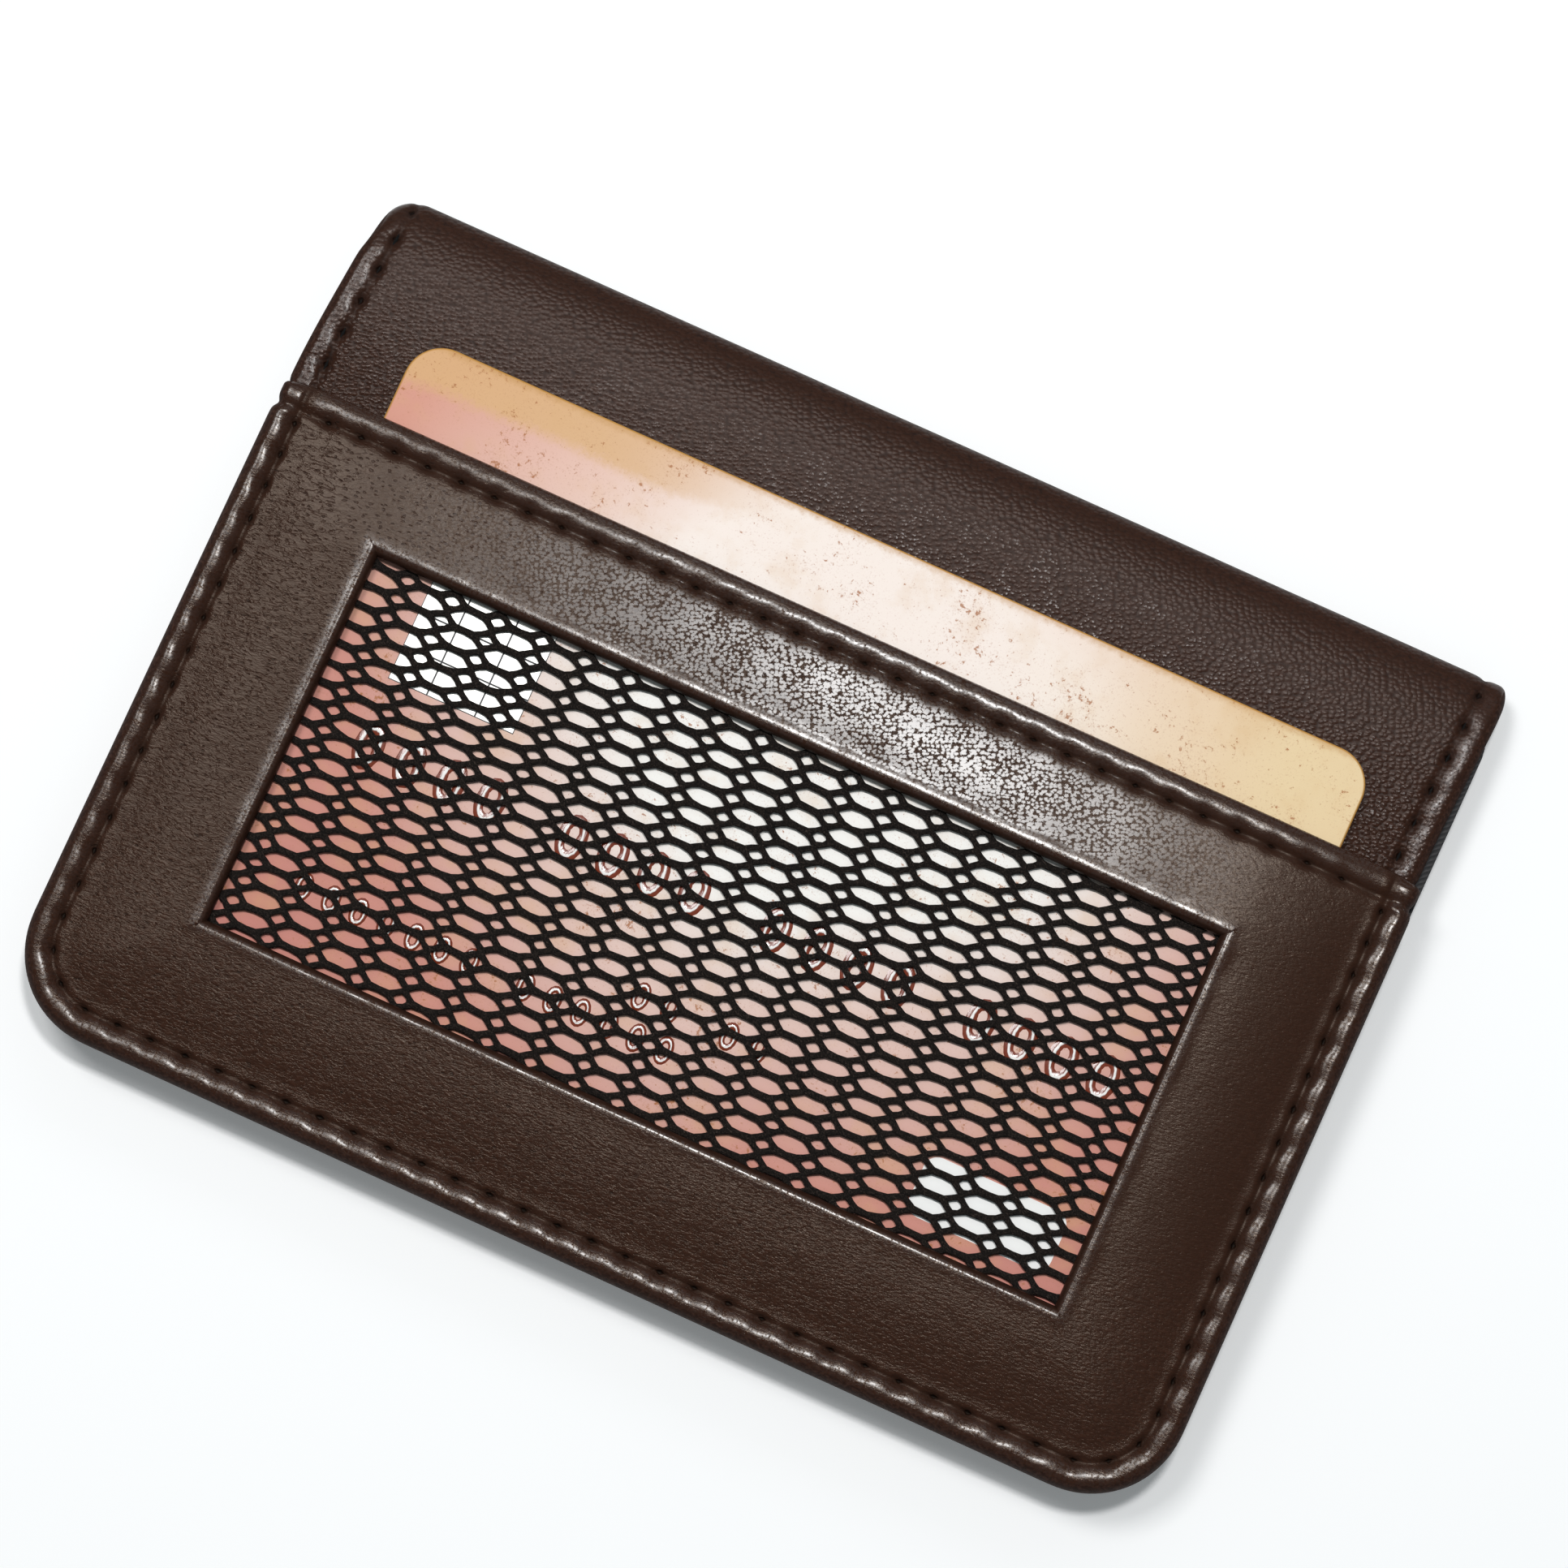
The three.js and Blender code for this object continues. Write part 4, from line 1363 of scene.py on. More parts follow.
@dataclass
class KnittedNet:
    """The net behind the window: a grid whose crossings open into small gaps between long ones.

    The pitch is the distance between crossings across and up, and the half gap is half of a small
    gap's size. Each wander is an amount in mm.
    """

    finishes: Finishes
    pitch: tuple[float, float] = (3.95, 1.76)
    half_gap: tuple[float, float] = (1.03, 0.78)
    cord: float = 0.9
    cord_flatness: float = 0.4
    crease: float = 0.35
    slip: tuple[float, float] = (0.16, 0.13)
    drift: float = 0.55
    lean: float = 0.07
    sag: float = 0.05
    drop: float = 0.03
    fuzz: float = 0.09

    def make(self) -> bpy.types.Object:
        """Knits the net and hands it back as one mesh object."""
        low, high = box_mm("window_net")
        middle = (low + high) / 2
        cords = bmesh.new()
        data = self._cords(self._lines(high - low, middle))
        cords.from_mesh(data)
        bpy.data.meshes.remove(data)
        for vert in cords.verts:
            x, y, z = vert.co
            fuzz = Vector((wander(x, y, 0.34, 3.0), wander(x, y, 0.34, 8.0), 0.0)) * self.fuzz
            vert.co = Vector((x, y, lerp(middle.z, z, self.cord_flatness))) + fuzz
        return solid_piece("knitted_window_net", cords, self.finishes.net)

    def _lines(self, span: Vector, middle: Vector) -> bpy.types.Mesh:
        """Lays out the net's lines.

        Args:
            span: The size of the place that the net fills.
            middle: That place's middle.

        Returns:
            A mesh with a face for every gap.
        """
        (pitch_x, pitch_y), (half_x, half_y) = self.pitch, self.half_gap
        across, up = math.floor(span.x / pitch_x), math.floor(span.y / pitch_y)
        net = bmesh.new()
        bmesh.ops.create_grid(net, x_segments=across, y_segments=up, size=0.5)
        wide, tall = pitch_x / half_x, pitch_y / half_y
        bmesh.ops.scale(net, vec=(across * wide, up * tall, 1.0), verts=net.verts)
        round_off(net, list(net.verts), Rounds.CORNERS, 1.0, 1)
        bmesh.ops.scale(net, vec=(half_x, half_y, 1.0), verts=net.verts)
        for vert in net.verts:
            x, y = vert.co.x, vert.co.y
            short = wander(x, y, 3.1, 1.0) * self.slip[0], wander(x, y, 2.7, 4.0) * self.slip[1]
            slow = wander(x, y, 21.0, 12.0), wander(x, y, 24.0, 15.0)
            slip = Vector((*short, 0.0)) + Vector((*slow, 0.0)) * self.drift
            sag = self.sag * wander(x, y, 9.0, 6.0)
            vert.co += slip + Vector((self.lean * y + middle.x, middle.y, middle.z - self.drop + sag))
        lines = bpy.data.meshes.new("net_lines")
        net.to_mesh(lines)
        net.free()
        return lines

    def _cords(self, lines: bpy.types.Mesh) -> bpy.types.Mesh:
        """Turns the net's lines, which are then removed, into round cords."""
        holder = bpy.data.objects.new("net_lines", lines)
        wires = holder.modifiers.new("cords", "WIREFRAME")
        wires.thickness = self.cord
        wires.use_even_offset = False
        wires.use_boundary = True
        wires.use_crease = True
        wires.crease_weight = self.crease
        rounding = holder.modifiers.new("rounding", "SUBSURF")
        rounding.levels = rounding.render_levels = 1
        data = baked(holder)
        bpy.data.meshes.remove(lines)
        return data


# The folded cover


@dataclass
class FoldedCover:
    """The outer leather that runs over the front leaf, the fold and the back leaf."""

    finishes: Finishes
    reach: float = 3.4
    corner: float = 7.4
    step: float = 0.75
    under_step: tuple[float, float] = (3.0, 1.5)
    hidden_step: float = 2.4
    hidden_overlap: float = 2.25
    leather: float = 0.75
    side_seam: float = 2.32
    seam_groove: float = 0.55
    edge_bead: float = 0.45
    stitch_steps: int = 4
    first_hole: int = 3
    thread_depth: float = 0.42
    thread_dip: float = 0.1
    thread_gap: float = 4.0
    bend_levels: tuple[float, float] = (1.5, 3.8)
    left_lean: float = 0.6
    left_spread: float = 0.45
    right_lean: float = 0.8
    lean_reach: float = 34.0
    lean_fade: float = 26.0
    spread_fade: float = 10.0
    pocket_tuck: float = 0.018
    roll_start: float = 30.5
    roll_reach: float = 6.0
    roll_calm: float = 0.7
    back_level: float = 0.2
    front_level: float = 5.22
    bend_start: float = 28.5
    fold_height: float = 2.35
    back_bend: float = 33.2
    left_round: float = 3.2
    right_round: float = 1.1
    fold_swell: float = 0.25
    path: list[tuple[float, Vector]] = field(init=False, default_factory=list)
    left_run: list[Vector] = field(init=False, default_factory=list)
    right_run: list[Vector] = field(init=False, default_factory=list)
    back_run: list[Vector] = field(init=False, default_factory=list)

    EDGE = rows_of(
        (3.0, 0.0, 0.04), (2.74, -0.03, 0.16), (2.52, -0.09, 0.36), (2.34, -0.11, 0.5),
        (2.16, -0.07, 0.42), (1.92, 0.02, 0.2), (1.62, 0.05, 0.1), (1.26, 0.07, 0.05),
        (0.9, 0.06, 0.02), (0.58, 0.0), (0.3, -0.2), (0.1, -0.5), (0.0, -0.78), (0.1, -0.98),
        (0.4, -1.06), (1.6, -1.08), (3.2, -1.06),
    )

    def __post_init__(self) -> None:
        """Reads the leaves' boxes and lays out the path over the fold."""
        self.front_low, self.front_high = box_mm("front_cover")
        self.back_low, self.back_high = box_mm("back_cover")
        self.pocket_top = box_mm("pocket_panel")[1].y
        self.fold_y = box_mm("spine_leather")[1].y + self.fold_swell
        self._lay_path()

    def _lay_path(self) -> None:
        """Lays the cover's section as a run of places with the length up to each."""
        points = [Vector((0.0, self.front_low.y, self.front_level))]
        count = 60
        power = 2.8
        long = self.fold_y - self.bend_start
        tall = self.front_level - self.fold_height
        for n in range(count + 1):
            angle = math.pi / 2 * (1.0 - n / count)
            y = self.bend_start + long * math.cos(angle) ** (2 / power)
            z = self.fold_height + tall * math.sin(angle) ** (2 / power)
            points.append(Vector((0.0, y, z)))
        for n in range(1, count + 1):
            angle = math.pi / 2 * n / count
            y = self.back_bend + (self.fold_y - self.back_bend) * math.cos(angle)
            z = self.fold_height - (self.fold_height - self.back_level) * math.sin(angle)
            points.append(Vector((0.0, y, z)))
        points.append(Vector((0.0, self.back_low.y, self.back_level)))
        length = 0.0
        last = points[0]
        for point in points:
            length += (point - last).length
            self.path.append((length, point))
            last = point

    @property
    def length(self) -> float:
        """The cover's length over the fold."""
        return self.path[-1][0]

    @property
    def fold_length(self) -> float:
        """The length up to the outermost line of the fold."""
        return max(self.path, key=lambda entry: entry[1].y)[0]

    def bend_ends(self) -> tuple[Vector, Vector]:
        """Gives the points, in metres, between which leather at the fold turns."""
        start, end = (Vector((0.0, self.back_high.y, level)) * MM for level in self.bend_levels)
        return start, end

    def length_at(self, y: float) -> float:
        """Gives the length along the front leaf at a height."""
        return y - self.front_low.y

    def section(self, along: float) -> tuple[Vector, Vector]:
        """Gives the place on the section and the way out of the leather there.

        Args:
            along: The length from the front leaf's lower edge.

        Returns:
            The place and the outward direction, both with x at 0.
        """
        held = min(max(along, 0.0), self.length)
        for (start, low), (end, high) in zip(self.path, self.path[1:]):
            if held <= end + 1e-9 and end > start:
                way = (high - low).normalized()
                place = low.lerp(high, (held - start) / (end - start))
                place += way * (along - held)
                return place, Vector((0.0, -way.z, way.y))
        raise ValueError("the path is empty")

    def side_shift(self, along: float) -> tuple[float, float]:
        """Says how far the left and right edges lean towards the right near the fold."""
        mouth = self.length_at(self.pocket_top)
        fold = self.fold_length
        share = smooth((along - mouth) / (fold - mouth))
        share *= smooth((fold + self.lean_reach - along) / self.lean_fade)
        front = smooth((fold + self.spread_fade - along) / self.spread_fade)
        left = self.left_lean * share - self.left_spread * (1.0 - share) * front
        return left, self.right_lean * share

    def build(self) -> None:
        """Builds the cover and its threads."""
        nodes = ("front_cover", "back_cover", "spine_leather")
        settle_bent(self._cover(), *self.bend_ends(), "cover_leather", *nodes)
        thread = self.finishes.thread
        sew("left_upper_stitches", self.left_run, thread, Body.FRONT, "left_upper_thread")
        sew("right_upper_stitches", self.right_run, thread, Body.FRONT, "right_upper_thread")
        sew("back_leaf_stitches", self.back_run, thread, Body.BACK, "back_seam_thread")

    def _corner_centre(self, x: float, along: float) -> Vector | None:
        """Gives the centre of the corner that a flat place belongs to."""
        side = self.front_high.x - self.corner
        if abs(x) <= side:
            return None
        if along < self.corner:
            return Vector((math.copysign(side, x), self.corner, 0.0))
        if along > self.length - self.corner:
            return Vector((math.copysign(side, x), self.length - self.corner, 0.0))
        return None

    def _cover(self) -> bpy.types.Object:
        """Builds the leather as one closed sheet over the fold."""
        sheet = SewnSheet(self._corner_centre)
        side, edge = self.front_high.x - self.corner, self.front_high.x - self.reach
        end = self.length - self.reach
        hidden = self.length_at(self.pocket_top - self.hidden_overlap)
        far_corner = self.length - self.corner
        corner_step = (self.corner - self.reach) / 5
        across = [
            *spaced([-edge, -side], corner_step),
            *spaced([-side, side], 2 * self.step)[1:],
            *spaced([side, edge], corner_step)[1:],
        ]
        up = [
            *spaced([self.reach, self.corner], corner_step),
            *spaced([self.corner, hidden], self.hidden_step)[1:],
            *spaced([hidden, far_corner], self.step)[1:],
            *spaced([far_corner, end], corner_step)[1:],
        ]
        sheet.grid(across, up, SewnSheet.FACE)
        under_across = spaced([-edge, -side, side, edge], self.under_step[0])
        under_up = spaced([self.reach, self.corner, far_corner, end], self.under_step[1])
        sheet.grid(under_across, under_up, SewnSheet.UNDER)
        outer = sheet.loops(SewnSheet.FACE)[0]
        under = sheet.loops(SewnSheet.UNDER)[0]
        self._mark_rim(sheet, outer)
        rim = sheet.rim(sheet.ring_edges(outer), 1, len(self.EDGE))
        sheet.shape(lambda vert: self._place(sheet, vert))
        self._runs(sheet, outer)
        sheet.close(rim, under)
        hide, dye = self.finishes.cover, self.finishes.edge
        return sheet.piece("folded_cover_leather", hide, dye, SewnSheet.EDGE_ROW)

    def _mark_rim(self, sheet: SewnSheet, ring: list[bmesh.types.BMVert]) -> None:
        """Writes each rim point's way out and its number along the edge."""
        edge = self.front_high.x - self.reach
        hidden = self.length_at(self.pocket_top)
        start_ring(ring, Vector((-edge, hidden, 0.0)), 1.0)
        for number, vert in enumerate(ring):
            centre = self._corner_centre(vert.co.x, vert.co.y)
            if centre is not None:
                out = (vert.co - centre).normalized()
            elif abs(abs(vert.co.x) - edge) < CLOSE:
                out = Vector((math.copysign(1.0, vert.co.x), 0.0, 0.0))
            else:
                out = Vector((0.0, math.copysign(1.0, vert.co.y - self.length / 2), 0.0))
            vert[sheet.out] = out
            vert[sheet.step] = number
            vert[sheet.along] = number * self.step

    def _stitch(self, step: int) -> float:
        """Gives 1 at a point that holds a stitch hole and 0 between holes."""
        return 1.0 if step % self.stitch_steps == self.first_hole else 0.0

    def lay(self, x: float, along: float, rise: float) -> Vector:
        """Lays a flat place onto the folded cover.

        Args:
            x: The place across the leaf.
            along: The length from the front leaf's lower edge.
            rise: The height over the leather's face.

        Returns:
            The place in mm.
        """
        place, out = self.section(along)
        left, right = self.side_shift(along)
        share = (x - self.front_low.x) / (self.front_high.x - self.front_low.x)
        tuck = self.pocket_tuck * smooth((self.length_at(self.pocket_top) - along) / 1.5)
        shift = lerp(left, right, share) - x * tuck
        roll = smooth((place.y - self.roll_start) / self.roll_reach)
        radius = self.left_round if x < 0 else self.right_round
        inner = min(radius, max(0.0, radius - (self.front_high.x - abs(x))))
        drop = (radius - math.sqrt(radius * radius - inner * inner)) * roll
        calm = 1.0 - self.roll_calm * roll if rise > 0 else 1.0
        return Vector((x + shift, -drop, 0.0)) + place + out * rise * calm

    def _place(self, sheet: SewnSheet, vert: bmesh.types.BMVert) -> Vector:
        """Gives a cover point's place."""
        root, row = vert[sheet.root], vert[sheet.row]
        x, along = root.x, root.y
        if row == SewnSheet.UNDER:
            return self.lay(x, along, -self.leather)
        swell = 0.04 * wander(x, along, 12.0, 3.0)
        if row == SewnSheet.FACE:
            return self.lay(x, along, swell)
        edge = self.EDGE[row - 1]
        out, step = vert[sheet.out], vert[sheet.step]
        stitch = self._stitch(step)
        pinch = edge.pinch * stitch * (1.0 + 0.3 * wander(x, along, 4.0, 13.0))
        ripple = 0.04 * wander(x, along, 1.6, 8.0) if edge.rise > 0 else 0.0
        push = self.reach - edge.inset
        dark = seam_shade(edge.inset - self.side_seam, self.seam_groove, stitch)
        vert[sheet.pit] = dark if row < SewnSheet.SEAM_ROWS else 0.0
        vert[sheet.bead] = self.edge_bead * smooth((self.side_seam - 0.1 - edge.inset) / 0.5)
        return self.lay(x + out.x * push, along + out.y * push, edge.rise - pinch + ripple)

    def _runs(self, sheet: SewnSheet, ring: list[bmesh.types.BMVert]) -> None:
        """Lays the threads of the upper side seams and of the back leaf's seam."""
        fold = self.fold_length
        start, stop = self.length_at(self.pocket_top) + 0.6, fold - self.thread_gap
        for vert in ring:
            root, out, step = vert[sheet.root], vert[sheet.out], vert[sheet.step]
            push = self.reach - self.side_seam
            lift = -self.thread_depth - self.thread_dip * self._stitch(step)
            place = self.lay(root.x + out.x * push, root.y + out.y * push, lift)
            if start < root.y < stop:
                (self.left_run if root.x < 0 else self.right_run).append(place)
            elif root.y > fold + self.thread_gap:
                self.back_run.append(place)


# Inside the leaves


@dataclass
class LeafInside:
    """The linings and stepped card slots inside both leaves, and the cloth strip in the fold."""

    finishes: Finishes
    cover: FoldedCover
    corner: float = 7.4
    hinge_y: float = 35.55
    hinge_z: float = 2.65
    strip_start: float = 31.5
    strip_radius: float = 0.8
    strip_lift: float = 0.42
    strip_cloth: float = 0.12
    strip_ends: tuple[float, float] = (0.1, 0.9)
    strip_cells: tuple[int, int] = (24, 48)
    bend_gap: float = 0.02
    trim: float = 0.05
    corner_loss: float = 28.0
    lining_lean: tuple[float, float] = (0.1, -0.2)
    lining_round: float = 3.2
    lining_edge: float = 0.08
    edge_round: float = 0.16
    crease_inset: float = 1.5
    crease_width: float = 0.35
    crease_depth: float = 0.1

    def build(self) -> None:
        """Builds the slots and linings of both leaves."""
        for leaf, body, up in (("back", Body.BACK, 1.0), ("front", Body.FRONT, -1.0)):
            for layer in ("upper", "lower"):
                node = f"{leaf}_{layer}_slot"
                settle(self._slot(node, up), body, "slot_leather", node)
            node = f"{leaf}_lining"
            lining = settle(self._lining(node), body, "lining_cloth", node)
        self._fold_lining()

    def _plate(self, node: str, trim: float) -> bmesh.types.BMesh:
        """Starts a flat plate with round lower corners in a node's box.

        Args:
            node: The CAD node that gives the box.
            trim: How much smaller it is on each side.

        Returns:
            The plate's lower face, at the box's foot.
        """
        low, high = box_mm(node)
        span, middle = high - low, (low + high) / 2
        foot = (middle.x, middle.y + trim / 2, low.z)
        plate = flat_plate(span.x - 2 * trim, span.y - trim, foot)
        lower = [v for v in plate.verts if v.co.y < middle.y]
        round_off(plate, lower, Rounds.CORNERS, self.corner - trim, 10)
        return plate

    def _slot(self, node: str, up: float) -> bpy.types.Object:
        """Builds a slot panel with a rounded edge and a pressed crease line."""
        low, high = box_mm(node)
        plate = self._plate(node, self.trim)
        top = thicken(plate, high.z - low.z)
        bottom = [f for f in plate.faces if abs(f.calc_center_median().z - low.z) < CLOSE]
        rims = [e for f in ([top] if up > 0 else bottom) for e in f.edges]
        round_off(plate, rims, Rounds.EDGES, self.edge_round, 3)
        face = max(plate.faces, key=lambda f: f.calc_area() * (1.0 if f.normal.z * up > 0.5 else 0.0))
        half = self.crease_width / 2
        for inset, depth in ((self.crease_inset, 0.0), (half, -1.0), (half, 1.0)):
            bmesh.ops.inset_region(plate, faces=[face], thickness=inset, depth=0.0, use_even_offset=True)
            bmesh.ops.translate(plate, vec=(0, 0, up * depth * self.crease_depth), verts=face.verts)
        return solid_piece(node + "_leather", plate, self.finishes.slot, flat=True)

    def _lining(self, node: str) -> bpy.types.Object:
        """Builds a lining sheet with a soft edge."""
        low, high = box_mm(node)
        plate = self._plate(node, self.trim)
        left, right = self.cover.side_shift(self.cover.fold_length)
        upper = [v for v in plate.verts if v.co.y > high.y - 1.0]
        for vert in upper:
            vert.co.x += left + self.lining_lean[0] if vert.co.x < 0 else right + self.lining_lean[1]
        round_off(plate, upper, Rounds.CORNERS, self.lining_round, 6)
        top = thicken(plate, high.z - low.z)
        round_off(plate, list(top.edges), Rounds.EDGES, self.lining_edge, 2)
        return solid_piece(node + "_cloth", plate, self.finishes.lining, flat=True)

    @property
    def _strip_length(self) -> float:
        """The fold strip's length: two legs and a half turn."""
        return 2 * (self.hinge_y - self.strip_start) + math.pi * self.strip_radius

    def _strip_place(self, share: float) -> tuple[float, float]:
        """Gives the fold strip's height on the leaf and its level, for a share of its length."""
        leg = self.hinge_y - self.strip_start
        arc = math.pi * self.strip_radius
        along = share * self._strip_length
        if along < leg:
            return self.strip_start + along, self.hinge_z - self.strip_radius
        if along < leg + arc:
            angle = (along - leg) / self.strip_radius - math.pi / 2
            reach = self.strip_radius
            return self.hinge_y + reach * math.cos(angle), self.hinge_z + reach * math.sin(angle)
        y = self.hinge_y - (along - leg - arc)
        lift = self.strip_lift * smooth((self.strip_start + 2.0 - y) / 2.0)
        return y, self.hinge_z + self.strip_radius + lift

    def _fold_lining(self) -> None:
        """Builds the cloth strip inside the fold: two flat legs with a tight turn about the hinge."""
        low, high = box_mm("spine_lining")
        left, right = low.x - self.strip_ends[0], high.x + self.strip_ends[1]
        across, around = self.strip_cells
        strip = bmesh.new()
        bmesh.ops.create_grid(strip, x_segments=across, y_segments=around, size=0.5)
        for vert in strip.verts:
            x = lerp(left, right, vert.co.x + 0.5)
            vert.co = Vector((x, *self._strip_place(vert.co.y + 0.5)))
        made = solid_piece("fold_lining_cloth", strip, self.finishes.lining)
        wall = made.modifiers.new("cloth", "SOLIDIFY")
        wall.thickness = self.strip_cloth * MM
        wall.offset = 0.0
        reach = self.strip_radius - self.bend_gap
        ends = [Vector((0.0, self.hinge_y, self.hinge_z + side * reach)) * MM for side in (-1.0, 1.0)]
        settle_bent(made, *ends, "lining_cloth", "spine_lining")


# The card


@dataclass(frozen=True)
class FigureLine:
    """A line of raised noughts, placed in mm from the card's lower left corner.

    The squeeze is the line's share of the usual pitch.
    """

    name: str
    figures: str
    start: float
    up: float
    height: float
    squeeze: float


@dataclass
class PocketCard:
    """The printed card with its contact plate and raised figures."""

    finishes: Finishes
    corner: float = 3.18
    edge_round: float = 0.2
    figure_pitch: float = 3.63
    figure_rise: float = 0.11
    figure_width: float = 0.64
    figure_stroke: float = 0.28
    figure_foot: float = 0.03
    pad_stretch: float = 1.15
    pad_lift: float = 0.01
    pad_gap: float = 0.14
    pad_rise: float = 0.03
    pad_depth: float = 0.12
    panel_size: tuple[float, float] = (12.5, 5.2)
    panel_place: tuple[float, float] = (14.0, 7.6)
    panel_round: float = 1.2
    panel_ink: float = 0.025

    LINES = (
        FigureLine("card_number_figures", "0000 0000 0000 0000", 10.3, 21.42, 4.3, 1.0),
        FigureLine("card_middle_figures", "00 00", 38.9, 12.02, 2.6, 0.72),
        FigureLine("card_lower_figures", "0000000 000000", 10.3, 8.82, 2.6, 0.68),
    )

    def __post_init__(self) -> None:
        """Reads the card's box from the CAD model."""
        self.low, self.high = box_mm("card_blank")

    def build(self) -> None:
        """Builds the blank, the contact plate, the figures and the white panel."""
        settle(self._blank(), Body.CARD, "card_print", "card_blank")
        settle(self._chip(), Body.CARD, "chip_metal", "card_chip")
        for line in self.LINES:
            settle(self._figures(line), Body.CARD, "card_print")
        settle(self._panel(), Body.CARD, "card_print")

    def _blank(self) -> bpy.types.Object:
        """Builds the card's blank."""
        span, middle = self.high - self.low, (self.low + self.high) / 2
        blank = flat_plate(span.x, span.y, (middle.x, middle.y, self.low.z))
        round_off(blank, list(blank.verts), Rounds.CORNERS, self.corner, 12)
        top = thicken(blank, span.z)
        rims = [e for f in blank.faces if abs(f.normal.z) > 0.5 or f is top for e in f.edges]
        round_off(blank, list(dict.fromkeys(rims)), Rounds.EDGES, self.edge_round, 3)
        edge = blank.verts.layers.float.new("edge")
        for vert in blank.verts:
            vert[edge] = 1.0 if vert.co.z < self.high.z - 0.005 else 0.0
        return solid_piece("printed_card", blank, self.finishes.card, flat=True)

    def _chip(self) -> bpy.types.Object:
        """Builds the contact plate as pads parted by fine lines."""
        low, high = box_mm("card_chip")
        span, middle = high - low, (low + high) / 2
        plate = bmesh.new()
        bmesh.ops.create_grid(plate, x_segments=3, y_segments=3, size=0.5)
        for vert in plate.verts:
            if abs(vert.co.x) < 0.4:
                vert.co.x *= self.pad_stretch
        bmesh.ops.scale(plate, vec=(span.x, span.y, 1.0), verts=plate.verts)
        bmesh.ops.translate(plate, vec=(middle.x, middle.y, high.z + self.pad_lift), verts=plate.verts)
        pads = list(plate.faces)
        bmesh.ops.inset_individual(plate, faces=pads, thickness=self.pad_gap, depth=self.pad_rise)
        gap = plate.verts.layers.float.new("gap")
        for vert in plate.verts:
            vert[gap] = 1.0 if vert.co.z < high.z + self.pad_lift + self.pad_rise / 2 else 0.0
        thicken(plate, -self.pad_depth)
        return solid_piece("contact_plate", plate, self.finishes.chip, flat=True)

    def _figures(self, line: FigureLine) -> bpy.types.Object:
        """Builds a line of raised figures, all noughts."""
        ring = bmesh.new()
        for n, letter in enumerate(line.figures):
            if letter != " ":
                x = self.low.x + line.start + n * self.figure_pitch * line.squeeze
                self._nought(ring, x, self.low.y + line.up, line.height)
        # The top points carry the painted highlight
        tip = ring.verts.layers.float.new("tip")
        for vert in ring.verts:
            vert[tip] = 1.0 if vert.co.z > self.high.z + 0.6 * self.figure_rise else 0.0
        return solid_piece(line.name, ring, self.finishes.figures)

    def _nought(self, mesh: bmesh.types.BMesh, x: float, y: float, height: float) -> None:
        """Adds one raised nought: a long ring with a rounded ridge."""
        verts = bmesh.ops.create_circle(mesh, cap_ends=False, segments=16, radius=0.5)["verts"]
        bmesh.ops.scale(mesh, vec=(height * self.figure_width, height, 1.0), verts=verts)
        bmesh.ops.translate(mesh, vec=(x, y, self.high.z - self.figure_foot), verts=verts)
        edges = list(dict.fromkeys(e for v in verts for e in v.link_edges))
        inward = height * self.figure_stroke / 4
        for rise in (0.8, 0.2, -0.2, -0.8):
            ring = bmesh.ops.extrude_edge_only(mesh, edges=edges)["geom"]
            edges = borders_of(ring)
            for vert in points_of(ring):
                away = Vector((vert.co.x - x, vert.co.y - y, 0.0))
                vert.co -= away.normalized() * inward
                vert.co.z += rise * self.figure_rise

    def _panel(self) -> bpy.types.Object:
        """Builds the plain white panel printed at the card's lower right."""
        right, up = self.panel_place
        middle = (self.high.x - right, self.low.y + up, self.high.z - 0.01)
        panel = flat_plate(*self.panel_size, middle)
        round_off(panel, list(panel.verts), Rounds.CORNERS, self.panel_round, 6)
        thicken(panel, self.panel_ink)
        return solid_piece("white_card_panel", panel, self.finishes.ink, flat=True)


# Carried-over pieces and the stage


@dataclass
class HiddenLayers:
    """The boards and the tape frame that stay as the CAD made them."""

    finishes: Finishes

    def build(self) -> None:
        """Gives each carried-over node its material."""
        dress = {
            "back_board": self.finishes.board,
            "front_board": self.finishes.board,
            "net_tape": self.finishes.tape,
        }
        for name, finish in dress.items():
            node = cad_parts[name]
            node.data.materials.clear()
            node.data.materials.append(finish)
            LOG.info("%s keeps its CAD shape", name)


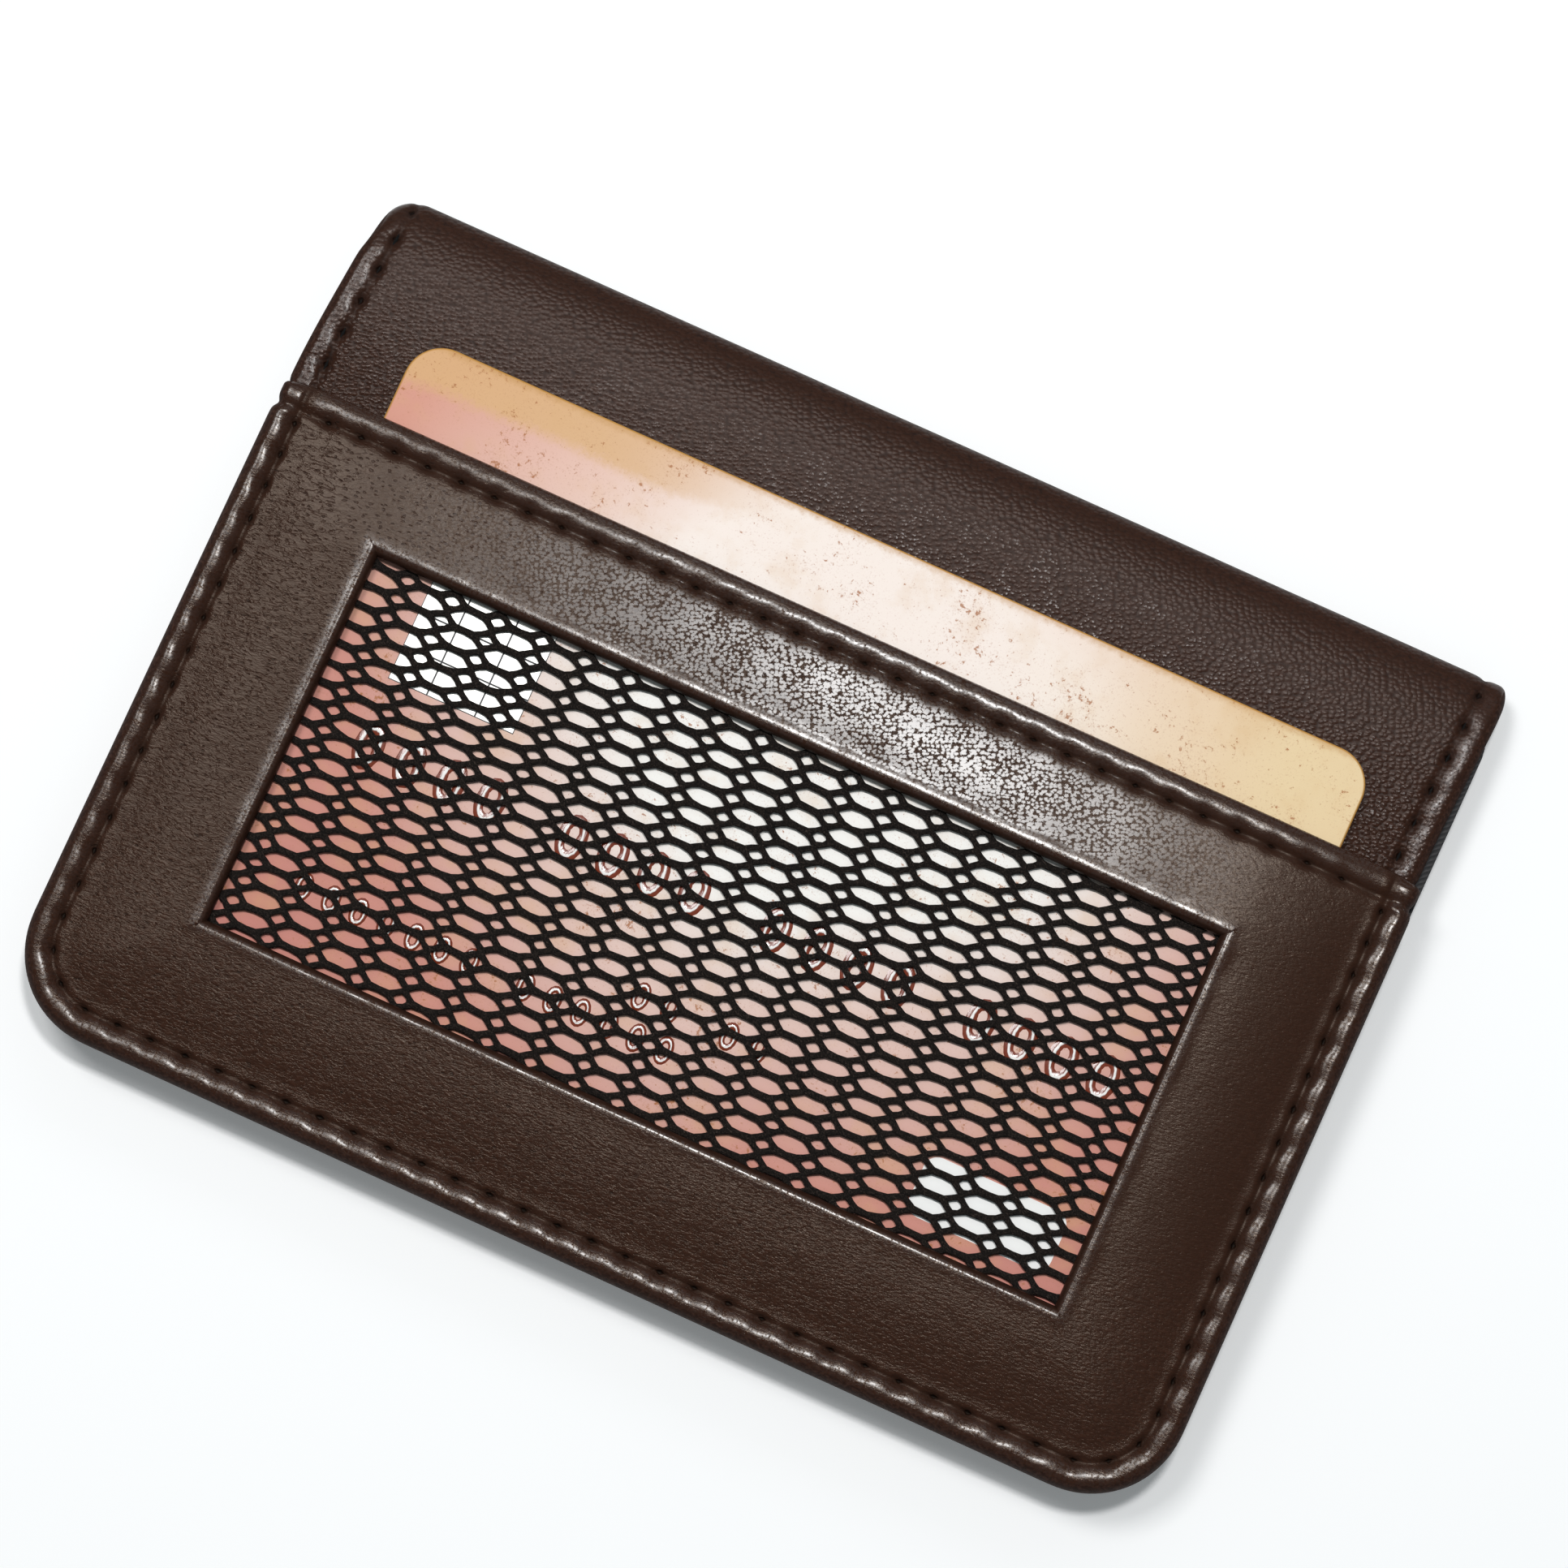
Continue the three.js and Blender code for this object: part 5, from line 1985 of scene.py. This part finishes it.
@dataclass
class Studio:
    """The camera, the white table and the soft lights."""

    azimuth: float = 24.39
    elevation: float = 84.05
    distance: float = 0.430
    target: tuple[float, float, float] = (0.00006, 0.00563, 0.004)
    lens: float = 120.9
    sensor: float = 36.0
    table_half: float = 4000.0
    table_drop: float = 0.02
    table_glow: float = 0.12
    room_colour: Colour = (0.84, 0.96, 1.0)
    room_strength: float = 0.2

    def build(self) -> None:
        """Sets up the view, the table and the light."""
        self._camera()
        self._table()
        self._lights()
        bpy.context.scene.view_settings.view_transform = "Standard"

    def _camera(self) -> None:
        """Places the camera at the photograph's angle."""
        turn, rise = math.radians(self.azimuth), math.radians(self.elevation)
        back = Vector(
            (math.sin(turn) * math.cos(rise), -math.cos(turn) * math.cos(rise), math.sin(rise))
        )
        data = bpy.data.cameras.new("camera")
        data.lens = self.lens
        data.sensor_width = self.sensor
        data.clip_start, data.clip_end = 0.01, 20.0
        camera = bpy.data.objects.new("camera", data)
        bpy.context.scene.collection.objects.link(camera)
        camera.location = Vector(self.target) + back * self.distance
        camera.rotation_mode = "QUATERNION"
        camera.rotation_quaternion = (-back).to_track_quat("-Z", "Y")
        bpy.context.scene.camera = camera

    def _table(self) -> None:
        """Lays a wide white table under the wallet."""
        s = Shader("white_table")
        grain = s.clouds(s.place(), 40.0, 2.0)
        s.surface_set(
            Base_Color=s.mix(grain * 0.1, (0.93, 0.93, 0.93), (0.9, 0.9, 0.9)),
            Roughness=0.9 - grain * 0.05,
            Specular_IOR_Level=0.0,
        )
        paths = s.node("ShaderNodeLightPath", output="Is Camera Ray")
        dark, glow = (
            s.node("ShaderNodeEmission", None, {"Color": (1.0, 1.0, 1.0), "Strength": strength}, "Emission")
            for strength in (0.0, self.table_glow)
        )
        added = s.node("ShaderNodeMixShader", None, {0: paths, 1: dark, 2: glow}, "Shader")
        base = Value(s, s.surface.outputs[0])
        both = s.node("ShaderNodeAddShader", None, {0: base, 1: added}, "Shader")
        s.feed(s.closing.inputs["Surface"], both)
        top = bmesh.new()
        bmesh.ops.create_grid(top, x_segments=2, y_segments=2, size=self.table_half)
        bmesh.ops.translate(top, vec=(0.0, 0.0, -self.table_drop), verts=top.verts)
        solid_piece("table_top", top, s.material)

    def _lamp(
        self, name: str, place: tuple[float, float, float], size: tuple[float, float], power: float,
        colour: Colour = (1.0, 1.0, 1.0),
    ) -> None:
        """Hangs a soft box that faces the wallet.

        Args:
            name: The lamp's name.
            place: Where it hangs, in metres.
            size: Its width and length.
            power: Its power in watts.
            colour: Its colour.
        """
        data = bpy.data.lights.new(name, "AREA")
        data.shape = "RECTANGLE"
        data.size, data.size_y = size
        data.energy = power
        data.color = colour
        lamp = bpy.data.objects.new(name, data)
        bpy.context.scene.collection.objects.link(lamp)
        lamp.location = place
        lamp.rotation_mode = "QUATERNION"
        lamp.rotation_quaternion = (-Vector(place)).to_track_quat("-Z", "Y")

    def _lights(self) -> None:
        """Hangs the soft boxes and sets the room's light."""
        world = bpy.data.worlds.new("pale_room")
        world.use_nodes = True
        room = next(n for n in world.node_tree.nodes if n.type == "BACKGROUND")
        room.inputs["Color"].default_value = (*self.room_colour, 1.0)
        room.inputs["Strength"].default_value = self.room_strength
        bpy.context.scene.world = world
        self._lamp("overhead_box", (0.0, 0.19, 0.75), (0.08, 0.07), 2.7)
        self._lamp("window_box", (-0.29, 0.18, 0.7), (0.2, 0.2), 2.15)
        self._lamp("back_box", (0.0, 0.9, 0.75), (1.2, 0.3), 0.75, (0.86, 0.94, 1.0))


def main() -> None:
    """Builds the wallet piece by piece and reports each one."""
    logging.basicConfig(level=logging.INFO, format="%(name)s: %(message)s")
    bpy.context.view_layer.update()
    Studio().build()
    finishes = Finishes()
    WindowPocket(finishes).build()
    cover = FoldedCover(finishes)
    cover.build()
    LeafInside(finishes, cover).build()
    PocketCard(finishes).build()
    HiddenLayers(finishes).build()
    bpy.context.view_layer.update()


if __name__ == "__main__":
    main()
